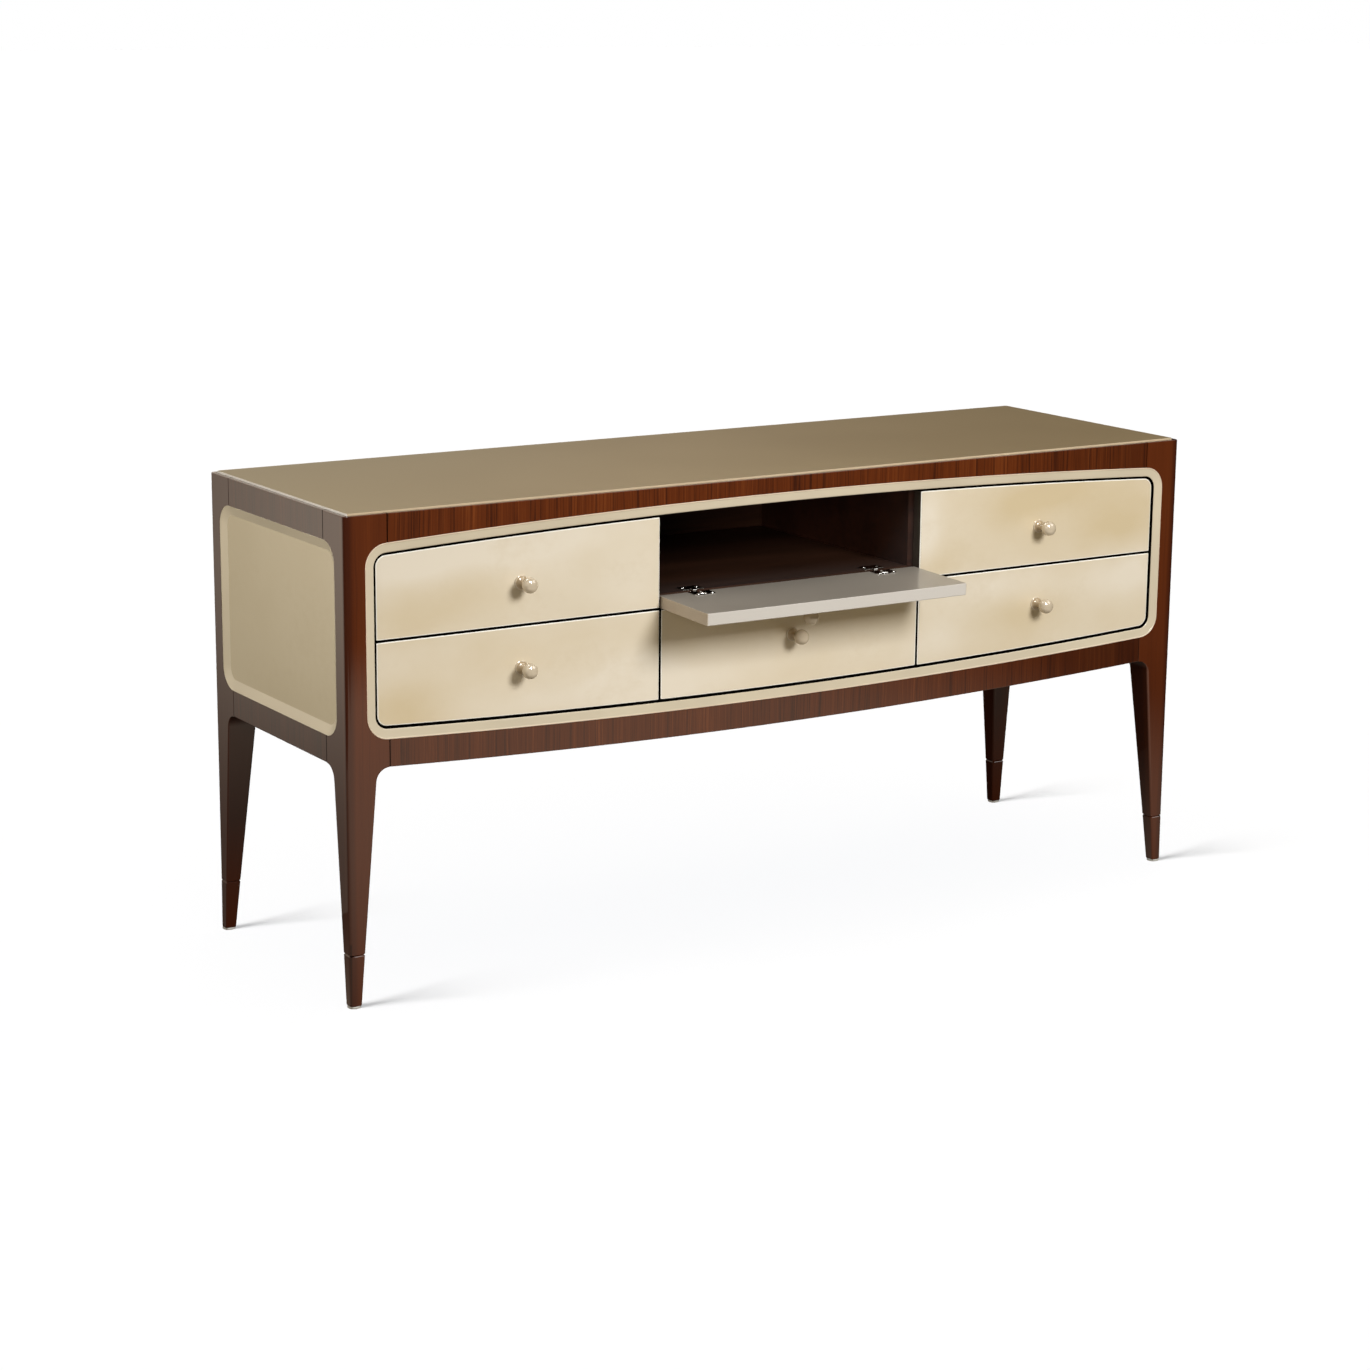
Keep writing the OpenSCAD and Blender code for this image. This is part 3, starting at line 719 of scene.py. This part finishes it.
def stained(name, dark, light, roughness):
    """Dark stained veneer with its grain along x, or along z on upright boards seen from the side."""
    oak = Finish(bpy.data.materials.new(name))
    _, (x, y, z) = oak.place()
    along = oak.noise(oak.vector(x * 4.0, y * 160.0, z * 90.0), 1.0, 4.0, 0.6)
    broad = oak.noise(oak.vector(x * 1.5, y * 18.0, z * 14.0), 1.0, 2.0)
    tone = oak.steps(along * 0.6 + broad * 0.4, 0.35, 0.65)
    bump = oak.node("Bump", {}, {"Height": along, "Strength": 0.1, "Distance": 0.0004})
    return oak.close(Base_Color=oak.mix(tone, dark, light), Roughness=roughness + along * 0.15, Normal=bump)


DARK_WOOD = stained("stained_oak", colour(40, 24, 17), colour(64, 40, 28), 0.36)
# A darker copy of the oak for the gables, dividers and top board: painted shade on the compartment's walls
# and roof.
DARK_WOOD_PAINTED_SHADE = stained("oak_painted_shade", colour(28, 14, 9), colour(46, 24, 15), 0.5)


def dress(finish, *nodes):
    """Gives solids that keep their own shape a finish."""
    for node in nodes:
        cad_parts[node].data.materials.clear()
        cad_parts[node].data.materials.append(finish)


DRAWERS = (
    ("upper_left", -1, 1),
    ("lower_left", -1, -1),
    ("lower_centre", 0, -1),
    ("upper_right", 1, 1),
    ("lower_right", 1, -1),
)
dress(DARK_WOOD, "bottom_board", "back_panel", "compartment_floor")
dress(DARK_WOOD_PAINTED_SHADE, "gables", "dividers", "top_board")
for drawer, _, _ in DRAWERS:
    dress(DARK_WOOD, *(drawer + "_" + part for part in ("sides", "back", "bottom")))


# Runners. Ball-bearing drawer slides of bright zinc-plated steel, screwed to the carcass and the drawer
# sides.

STEEL = plain("zinc_steel", colour(190, 190, 188), 0.3, 0.06, 30.0, metallic=1.0)
dress(STEEL, "cabinet_runners", "hinge_pins", *(drawer + "_runners" for drawer, _, _ in DRAWERS))


# Drawer fronts. Parchment-covered boards with lightly rounded edges, cut to the opening's outline with an
# even gap between them. Each is screwed to its drawer from inside.

GAP = 0.0038
FRONT_THICK = 0.022
FRONT_ROUND = 0.0018
DIVIDER_X = 0.282
# Round hills of tone on the fronts: the warm ones are the skins' own, the pale ones partly the skins' and
# partly painted sheen where the lamps reflect.
SKIN_TONE_AND_SHEEN_PATCHES = (
    (-0.77, 0.135, 0.13, 0.045, 0.7),
    (-0.53, 0.150, 0.18, 0.035, 0.5),
    (-0.68, 0.065, 0.10, 0.045, -0.35),
    (-0.79, 0.020, 0.07, 0.045, -0.35),
    (-0.33, 0.045, 0.08, 0.080, 0.15),
    (-0.79, -0.130, 0.09, 0.050, -0.55),
    (-0.62, -0.065, 0.12, 0.040, -0.2),
    (-0.34, -0.125, 0.14, 0.055, 0.65),
    (-0.52, -0.140, 0.12, 0.025, 0.3),
    (-0.05, -0.120, 0.26, 0.050, 0.2),
    (0.295, 0.090, 0.035, 0.075, 0.65),
    (0.56, 0.135, 0.14, 0.040, -0.5),
    (0.78, 0.060, 0.13, 0.100, -0.4),
    (0.31, 0.015, 0.07, 0.040, -0.4),
    (0.47, -0.030, 0.16, 0.035, 0.4),
    (0.79, -0.035, 0.11, 0.055, 0.75),
    (0.52, -0.090, 0.12, 0.040, -0.3),
    (0.32, -0.130, 0.07, 0.040, 0.3),
)
# The pale tone is near white: partly the skins' colour and partly painted sheen.
SKIN = parchment(
    "parchment", colour(212, 194, 159), colour(231, 221, 203), colour(206, 187, 151), 0.17, SKIN_TONE_AND_SHEEN_PATCHES
)
# Near white on the fronts' rounded rims: a painted highlight where their edges catch the light.
RIM_PAINTED_HIGHLIGHT = plain("rim_painted_highlight", colour(254, 250, 240), 0.2, 0.02, 20.0, coat=0.5)


def arc(x, z, radius, start, end, steps=6):
    """Points of a circle's arc, from its start to its end angle in degrees."""
    turn = np.radians(np.linspace(start, end, steps + 1))
    return np.stack([x + radius * np.cos(turn), z + radius * np.sin(turn)], axis=-1)


def front_loop(column, row, small=0.0022):
    """A front's outline from the opening's middle, anticlockwise: its lower edge, its outer side, the
    corner arc where it has one, the arch, and its inner side. The left column and the lower row are
    mirrored from this."""
    inset = BORDER + GAP
    low = GAP / 2
    outline = opening(FRONT_HALF, inset, ARCH)[0]
    quarter = outline[: len(outline) // 4 + 1]
    inner = GAP / 2 + (DIVIDER_X if column else -DIVIDER_X)
    top = (OPEN_HIGH - OPEN_LOW) / 2 - inset + rise(inner)
    if column:
        arch = quarter[quarter[:, 0] > inner + small][::-1]
        first = arc(arch[0, 0] - small, low + small, small, 270, 360)
    else:
        right = quarter[quarter[:, 0] < -inner - small][::-1]
        arch = np.concatenate([right, right[-2::-1] * (-1, 1)])
        shoulder = arc(-inner - small, top - small, small, 0, 80)
        first = np.concatenate([arc(-inner - small, low + small, small, 270, 360), shoulder])
    start = arc(inner + small, low + small, small, 180, 260)
    end = arc(inner + small, top - small, small, 100, 180)
    loop = np.concatenate([start, first, arch, end])
    return loop * (column or 1, row)


def drawn_in(loop, inset):
    """The loop moved inwards by each inset, along the normal of the chord between a point's neighbours."""
    along = np.roll(loop, -1, axis=0) - np.roll(loop, 1, axis=0)
    normal = np.stack([-along[:, 1], along[:, 0]], axis=-1)
    normal = normal / np.linalg.norm(normal, axis=1, keepdims=True)
    area = np.sum(loop[:, 0] * np.roll(loop[:, 1], -1) - loop[:, 1] * np.roll(loop[:, 0], -1))
    return loop[None] + np.asarray(inset)[:, None, None] * normal[None] * np.sign(area)


def slab(loop, profile):
    """A board's points: its outline, drawn in and set back as each profile row says."""
    inset, deep = np.array(profile).T
    return in_opening(lifted(drawn_in(loop, inset), deep))


round_edge = np.linspace(0, math.pi / 2, 6)
front_profile = [
    (0.0006, SLOPE + FRONT_THICK),
    (0.0, SLOPE + FRONT_THICK - 0.0006),
    *zip(FRONT_ROUND * (1 - np.cos(round_edge)), SLOPE + FRONT_ROUND * (1 - np.sin(round_edge))),
    (0.0021, SLOPE),
]
front_finishes = [SKIN, GAP_EDGE_PAINTED_SHADE, RIM_PAINTED_HIGHLIGHT, DARK_WOOD]
# The fronts' edges are painted near black as shade in the gaps, and their rounded rims near white as a
# painted highlight.
front_bands = [3, 1, 1, 1, 2, 2, 2, 2, 3, 0]
for drawer, column, row in DRAWERS:
    board = slab(front_loop(column, row), front_profile)
    settle(
        shell(drawer + "_face", [board], front_finishes, bands=front_bands),
        drawer + "_drawer", "parchment", drawer + "_front",
    )


# Knobs. Turned balls on a waisted neck and a dished rosette, lacquered and polished, each screwed on from
# behind.

KNOB_RISE = 0.075
KNOB_X = 0.563
KNOB_RADIUS = 0.014
KNOB_REACH = 0.031
KNOB_LACQUER = plain(
    "knob_lacquer", colour(217, 207, 190), 0.2, 0.04, 30.0,
    coat=1.0, Coat_IOR=1.7, Coat_Tint=(0.86, 0.81, 0.73, 1.0),
)
# The neck is painted darker than the ball: painted shade and dark reflection between the ball and the
# rosette.
NECK_PAINTED_SHADE = plain("neck_painted_shade", colour(174, 153, 122), 0.2, 0.04, 30.0, coat=0.6)

ball = np.linspace(math.asin(0.0066 / KNOB_RADIUS), math.pi, 20)[:-1]
knob_profile = [
    (0.0116, 0.0),
    (0.0128, 0.0003),
    (0.013, 0.0010),
    (0.0127, 0.0018),
    (0.0120, 0.0022),
    (0.0112, 0.0024),
    (0.0092, 0.0033),
    (0.0074, 0.0048),
    (0.0064, 0.0070),
    (0.0059, 0.0100),
    (0.0058, 0.0135),
    (0.0061, 0.0165),
    *zip(KNOB_RADIUS * np.sin(ball), KNOB_REACH - KNOB_RADIUS * np.cos(ball)),
]
turned = lathe(knob_profile)
knob_bands = [0] * 5 + [1] * 6 + [0] * (len(knob_profile) - 10)


def on_front(x, z):
    """The turned profile's points, with its axis pointing out of the front at x and z from the middle."""
    across, up, out = np.moveaxis(turned, -1, 0)
    return np.stack([x + across, FRONT + SLOPE - out, OPEN_MIDDLE + z + up], axis=-1)


def knob(name, grid):
    """A knob from its points, with its neck painted darker as painted shade under the ball."""
    return shell(name, [grid], [KNOB_LACQUER, NECK_PAINTED_SHADE], bands=knob_bands, turn_at=50)


for drawer, column, row in DRAWERS:
    settle(
        knob(drawer + "_turned_knob", on_front(column * KNOB_X, row * KNOB_RISE)),
        drawer + "_drawer", "knob_lacquer", drawer + "_knob",
    )


# Flap. A lacquered board with a parchment outer skin, open and level, standing on its hinges. Its inner
# face, now on top, is grey, and slots in its lower edge clear the hinge arms.

PIVOT = (FRONT + 0.013, OPEN_MIDDLE + GAP / 2 + 0.005)
DROOP = math.radians(1.5)
HINGE_X = 0.1981
SLOT_HALF = 0.0056
SLOT_TOP = 0.66105 - OPEN_MIDDLE
SKIN_THICK = 0.0024
CORE_ROUND = 0.0009
FLAP_END_FADE = (0.2775, 0.2795)
FLAP_GREY = plain("flap_lacquer", colour(164, 157, 147), 0.3, 0.03, 4.0, coat=0.2)


def at_flap_ends(edge, x, z):
    """1 on the flap's two short edges, which are browner than its long one."""
    return edge.steps(edge.maths("ABSOLUTE", x), *FLAP_END_FADE)


FLAP_EDGE = two_tone(
    "flap_edge_lacquer", colour(206, 201, 194), colour(174, 157, 134), at_flap_ends, 0.3, 0.5
)


def swung(grid):
    """Turns points of the shut flap about the hinge pins, to where it rests open."""
    y = grid[..., 1] - PIVOT[0]
    z = grid[..., 2] - PIVOT[1]
    cos, sin = math.cos(math.pi / 2 + DROOP), math.sin(math.pi / 2 + DROOP)
    return np.stack([grid[..., 0], PIVOT[0] + y * cos - z * sin, PIVOT[1] + y * sin + z * cos], axis=-1)


def notched(loop):
    """The flap's outline with a slot let into its lower edge at each hinge."""
    low = GAP / 2
    start = int(np.argmax(loop[:, 0] > 0))
    slots = [
        (x + side * SLOT_HALF, z)
        for x in (-HINGE_X, HINGE_X)
        for side, z in ((-1, low), (-1, SLOT_TOP), (1, SLOT_TOP), (1, low))
    ]
    return np.concatenate([loop[:start], slots, loop[start:]])


shut = front_loop(0, 1)
SKIN_BACK = SLOPE + SKIN_THICK
INNER_FACE = SLOPE + FRONT_THICK
skin_profile = [(0.0003, SKIN_BACK), *front_profile[2:]]
core_profile = [
    (0.0001, SKIN_BACK),
    (0.0, SKIN_BACK + 0.0002),
    *zip(CORE_ROUND * (1 - np.cos(round_edge)), INNER_FACE - CORE_ROUND * (1 - np.sin(round_edge))),
    (0.0011, INNER_FACE),
]
skin = swung(slab(shut, skin_profile))
core = swung(slab(notched(shut), core_profile))
settle(
    shell("flap_skin", [skin], [SKIN, FLAP_EDGE], bands=[1] * 6 + [0, 1, 0]),
    "flap", "parchment", "flap",
)
settle(
    shell("flap_core", [core], [FLAP_GREY, FLAP_EDGE], bands=[1] * 7 + [0, 1, 0]),
    "flap", "flap_lacquer", "flap",
)
hung = swung(on_front(0.0, KNOB_RISE))
settle(knob("flap_turned_knob", hung), "flap", "knob_lacquer", "flap_knob")


# Flap hinges. A forked chrome plate is screwed to the flap round each slot, with a raised U round the
# mouth of the slot. A second plate is screwed to the floor behind it, and its curved arm reaches down to
# the pin.

CHROME = plain("chrome", colour(232, 231, 228), 0.07, 0.02, 50.0, metallic=1.0)
HINGE_HALF = 0.022
SCREW_X = 0.01467
LEAF_THICK = 0.0013
LEAF_END = 0.026
FOOT_THICK = 0.0025
FOOT_START = 0.030
FOOT_END = 0.056
ARM_HALF = 0.005
FLOOR_TOP = 0.65615


def plate(corners, radii, thick):
    """A flat plate from its corners in plan, with a rounded rim: rows of plan x and y and of height."""
    loop = rounded(np.array(corners), np.array(radii), 5)
    rim = [(0.0003, 0.0), (0.0, 0.0002), (0.0, thick - 0.0005), (0.00015, thick - 0.00015), (0.0005, thick)]
    inset, height = np.array(rim + [(0.0006, thick)]).T
    return lifted(drawn_in(loop, inset), height)


def on_flap(grid, x):
    """Lays plan x, height up the shut flap and height off its inner face at a hinge, then opens the flap."""
    across, up, off = np.moveaxis(grid, -1, 0)
    return swung(np.stack([across + x, FRONT + INNER_FACE + off, PIVOT[1] + up], axis=-1))


def on_floor(grid, x):
    """Lays plan x, depth and height on the compartment floor at a hinge."""
    return grid + np.array([x, FRONT, FLOOR_TOP])


def bead(radius, thick, reach):
    """A tube along a U: straight down both sides for reach, and half round between. Its ends close to a
    point."""
    turn = np.linspace(0, math.pi, 25)
    path = np.stack([radius * np.cos(turn), radius * np.sin(turn)], axis=-1)
    legs = np.linspace(reach, 0, 5, endpoint=False)[:, None] * (0, -1)
    path = np.concatenate([legs + (radius, 0), path, legs[::-1] + (-radius, 0)])
    along = np.gradient(path, axis=0)
    along = along / np.linalg.norm(along, axis=1, keepdims=True)
    side = np.stack([along[:, 1], -along[:, 0]], axis=-1)
    steps = np.arange(len(path))
    size = thick * np.sqrt(np.clip(np.minimum(steps, steps[::-1]) / 2.5, 0.02, 1))
    around = np.linspace(0, 2 * math.pi, 12, endpoint=False)
    ring = np.stack([np.cos(around), np.sin(around)], axis=-1)
    plan = path[:, None] + size[:, None, None] * ring[None, :, :1] * side[:, None]
    return np.concatenate([plan, (size[:, None] * ring[None, :, 1])[..., None]], axis=-1)


mouth = SLOT_TOP + OPEN_MIDDLE - PIVOT[1]
leaf = plate(
    [
        (-HINGE_HALF, -0.001), (-SLOT_HALF, -0.001), (-SLOT_HALF, mouth), (SLOT_HALF, mouth),
        (SLOT_HALF, -0.001), (HINGE_HALF, -0.001), (HINGE_HALF, LEAF_END), (-HINGE_HALF, LEAF_END),
    ],
    [0.001, 0.0006, 0.003, 0.003, 0.0006, 0.001, 0.006, 0.006],
    LEAF_THICK,
)
cup_bead = bead(0.0098, 0.0011, 0.009) + np.array([0.0, 0.0122, 0.0008])
screw = lathe(
    [(0.0038, 0.0), (0.0038, 0.0004), (0.0034, 0.0009), (0.0026, 0.0013), (0.0016, 0.0014), (0.0014, 0.0009),
     (0.0003, 0.0008)],
    24,
)
at_hinges = (-HINGE_X, HINGE_X)
flap_parts = [on_flap(leaf, x) for x in at_hinges]
beads = [on_flap(cup_bead, x) for x in at_hinges]
settle(shell("hinge_flap_plates", flap_parts, [CHROME]), "flap", "chrome", "flap_hinges")
settle(shell("hinge_cup_beads", beads, [CHROME], turn_at=60), "flap", "chrome", "flap_hinges")
flap_screws = [
    on_flap(screw + np.array([side * SCREW_X, 0.0219, LEAF_THICK]), x)
    for x in at_hinges
    for side in (-1, 1)
]
settle(shell("hinge_flap_screws", flap_screws, [CHROME]), "flap", "chrome", "flap_hinge_screws")

foot = plate(
    [
        (-HINGE_HALF, FOOT_START), (-ARM_HALF, FOOT_START), (-ARM_HALF, 0.0245), (ARM_HALF, 0.0245),
        (ARM_HALF, FOOT_START), (HINGE_HALF, FOOT_START), (HINGE_HALF, FOOT_END), (-HINGE_HALF, FOOT_END),
    ],
    [0.001, 0.002, 0.0005, 0.0005, 0.002, 0.001, 0.006, 0.006],
    FOOT_THICK,
)
drop = PIVOT[1] - FLOOR_TOP
side_view = rounded(
    np.array(
        [
            (0.009, drop - 0.004), (0.0297, drop - 0.004), (0.0297, 0.0024), (0.0241, 0.0024),
            (0.0241, drop + 0.004), (0.009, drop + 0.004),
        ]
    ),
    np.array([0.00395, 0.004, 0.0005, 0.0015, 0.004, 0.00395]),
    6,
)
arm_plan = drawn_in(side_view, [0.0008, 0.0002, 0.0, 0.0, 0.0002, 0.0008])
arm_side = ARM_HALF - np.array([0.0, 0.0003, 0.0009])
arm_x = np.concatenate([-arm_side, arm_side[::-1]])
arm = np.roll(lifted(arm_plan, arm_x), 1, axis=-1)
floor_parts = [on_floor(foot, x) for x in at_hinges]
arms = [on_floor(arm, x) for x in at_hinges]
settle(shell("hinge_floor_plates", floor_parts, [CHROME]), "cabinet", "chrome", "floor_hinges")
settle(shell("hinge_arms", arms, [CHROME]), "cabinet", "chrome", "floor_hinges")
floor_screws = [
    on_floor(screw + np.array([side * SCREW_X, 0.043, FOOT_THICK]), x)
    for x in at_hinges
    for side in (-1, 1)
]
settle(shell("hinge_floor_screws", floor_screws, [CHROME]), "cabinet", "chrome", "floor_hinge_screws")


# Floor, light and camera. A plain white floor and a pale room; a large soft box high at the front right,
# a low broad lamp at the left, and white cards that the polish reflects.

def plane(name, corners, finish):
    """A flat card or floor from its four corners, which isn't part of the object."""
    mesh = bpy.data.meshes.new(name)
    mesh.from_pydata(corners, [], [(0, 1, 2, 3)])
    mesh.materials.append(finish)
    made = bpy.data.objects.new(name, mesh)
    bpy.context.scene.collection.objects.link(made)
    return made


white = Finish(bpy.data.materials.new("floor_white"))
glow = white.node("Emission", {}, {"Color": (0.955, 0.98, 1.03, 1.0), "Strength": 0.46})
matte = white.node("BsdfDiffuse", {}, {"Color": (0.5, 0.5, 0.5, 1.0)})
white.node("OutputMaterial", {}, {"Surface": white.node("AddShader", {}, {0: glow, 1: matte})})
FLOOR_HALF = 60.0
floor_corners = [(FLOOR_HALF * x, FLOOR_HALF * y, 0) for x, y in ((-1, -1), (1, -1), (1, 1), (-1, 1))]
floor = plane("floor", floor_corners, white.owner)
floor.visible_glossy = False
floor.visible_diffuse = False


def card(name, corners, tint, brightness):
    """A glowing card that only reflections see. brightness works it out from the card's own x, y and z."""
    paint = Finish(bpy.data.materials.new(name))
    _, point = paint.place()
    lit = paint.node("Emission", {}, {"Color": (*tint, 1.0), "Strength": brightness(paint, *point)})
    paint.node("OutputMaterial", {}, {"Surface": lit})
    made = plane(name, corners, paint.owner)
    made.visible_camera = made.visible_diffuse = made.visible_shadow = made.visible_transmission = False
    return made


def facing(centre, half):
    """The corners of a square card round a centre, turned towards the object."""
    back = np.array(centre) - (0.0, 0.0, 0.6)
    back = back / np.linalg.norm(back)
    side = np.array([-back[1], back[0], 0.0]) / math.hypot(back[0], back[1])
    up = np.cross(back, side)
    return [tuple(centre + half * (i * side + j * up)) for i, j in ((-1, -1), (1, -1), (1, 1), (-1, 1))]


card(
    "card_left",
    [(-3.6, 0.7, -1.2), (0.6, 2.6, -1.2), (0.6, 2.6, 0.84), (-3.6, 0.7, 0.84)],
    (1.0, 0.88, 0.72),
    lambda paint, x, y, z: (paint.steps(z, -0.3, 0.5) * 0.9 + 0.24) * paint.steps(x, -0.9, -2.1) * 1.15,
)
card(
    "card_front",
    [(-2.5, -3.3, 0.003), (2.2, -3.3, 0.003), (2.2, 0.3, 0.003), (-2.5, 0.3, 0.003)],
    (1.0, 0.86, 0.68),
    lambda paint, x, y, z: (
        paint.steps(x, 1.95, 0.9) * paint.steps(y, -2.9, -2.1) * paint.steps(y, 0.5, -1.2) * 0.85
    ),
)
card("card_high", facing((2.5, -1.6, 4.0), 1.3), (1.0, 0.98, 0.95), lambda paint, x, y, z: 3.5)
card("card_spark", facing((-1.1, -2.6, 4.7), 1.0), (1.0, 1.0, 1.0), lambda paint, x, y, z: 40.0)

world = bpy.data.worlds.new("studio")
bpy.context.scene.world = world
air = Finish(world)
way = air.node("TexCoord", {}, {}, 0)
east, north, up = (air.node("SeparateXYZ", {}, {0: way}, axis) for axis in range(3))
to_camera = air.node("LightPath", {}, {}, 0)
glossy = air.node("LightPath", {}, {}, 3)
behind_left = air.steps(north - east * 1.15, -0.05, 0.55) * air.steps(up, -0.02, 0.03)
room = (0.24, 0.208, 0.153, 1.0)
mirror_room = air.mix(behind_left, (0.012, 0.012, 0.012, 1.0), (0.78, 0.68, 0.56, 1.0))
seen = air.mix(to_camera, air.mix(glossy, room, mirror_room), (1.0, 1.0, 1.0, 1.0))
sky = air.node("Background", {}, {"Color": seen, "Strength": 1.0})
air.node("OutputWorld", {}, {"Surface": sky})


def aim(thing, place, ahead, right):
    """Puts a lamp or the camera at a place, looking ahead, with its right side to the right."""
    back = -np.array(ahead) / np.linalg.norm(ahead)
    side = np.array(right) - np.dot(right, back) * back
    side = side / np.linalg.norm(side)
    matrix = np.eye(4)
    matrix[:3, 0], matrix[:3, 1], matrix[:3, 2], matrix[:3, 3] = side, np.cross(back, side), back, place
    thing.matrix_world = Matrix(matrix.tolist())


def link_set(name, objects, state):
    """A collection that light linking reads: the objects that a lamp is kept to, or kept off."""
    made = bpy.data.collections.new(name)
    for thing in objects:
        made.objects.link(thing)
    for entry in made.collection_objects:
        entry.light_linking.link_state = state
    return made


def lamp(name, kind, strength, place, lit, **settings):
    """A lamp at a place, turned towards the middle of the object. lit is the collection that says what it
    lights. Reflections don't see it."""
    data = bpy.data.lights.new(name, kind)
    data.energy = strength
    for key, value in settings.items():
        setattr(data, key, value)
    made = bpy.data.objects.new(name, data)
    bpy.context.scene.collection.objects.link(made)
    ahead = np.array((0.0, 0.0, 0.6)) - place
    aim(made, place, ahead, (-ahead[1], ahead[0], 0.0))
    made.light_linking.receiver_collection = lit
    made.visible_glossy = False
    return made


no_floor = link_set("all_but_floor", [floor], "EXCLUDE")
floor_only = link_set("floor_alone", [floor], "INCLUDE")
boards = ("top_board", "bottom_board", "back_panel", "gables", "dividers", "compartment_floor")
inside = link_set("inside", [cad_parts[node] for node in boards], "INCLUDE")
lamp("key", "AREA", 180.0, (0.56, -4.1, 2.7), no_floor, shape="SQUARE", size=1.4)
lamp("left_lamp", "AREA", 24.0, (-2.7, -0.3, 2.1), no_floor, shape="SQUARE", size=1.0)
lamp("inside_lamp", "SUN", 1.5, (-3.6, -4.0, 1.3), inside, angle=math.radians(20))


def flag(name, half, high):
    """Four slim posts inside the feet that nothing sees; they alone shade the floor from the floor lamp."""
    across = np.array([(-half, -half), (half, -half), (half, half), (-half, half)])
    feet = [across + (x, y) for x in (-FOOT_X, FOOT_X) for y in FOOT_Y]
    grids = [lifted(np.stack([foot, foot]), np.array([0.0, high])) for foot in feet]
    made = shell(name, grids, [white.owner])
    made.visible_camera = made.visible_diffuse = made.visible_glossy = made.visible_transmission = False
    return made


floor_lamp = lamp("floor_lamp", "SUN", 6.8, (-5.0, 0.0, 2.95), floor_only, angle=math.radians(28))
flags = flag("floor_flags", 0.009, 0.115)
floor_lamp.light_linking.blocker_collection = link_set("shading_floor", [flags], "INCLUDE")

CAMERA_PLACE = (-3.0979, -4.73196, 1.7281)
camera_data = bpy.data.cameras.new("camera")
camera_data.sensor_width = 36.0
camera_data.lens = 81.14
camera_data.clip_end = 200.0
camera = bpy.data.objects.new("camera", camera_data)
bpy.context.scene.collection.objects.link(camera)
yaw, pitch, roll = math.radians(32.289), math.radians(12.977), math.radians(0.517)
ahead = np.array([math.sin(yaw) * math.cos(pitch), math.cos(yaw) * math.cos(pitch), -math.sin(pitch)])
level = np.array([math.cos(yaw), -math.sin(yaw), 0.0])
above = np.cross(level, ahead)
aim(camera, CAMERA_PLACE, ahead, math.cos(roll) * level + math.sin(roll) * above)
bpy.context.scene.camera = camera
bpy.context.scene.view_settings.view_transform = "Standard"
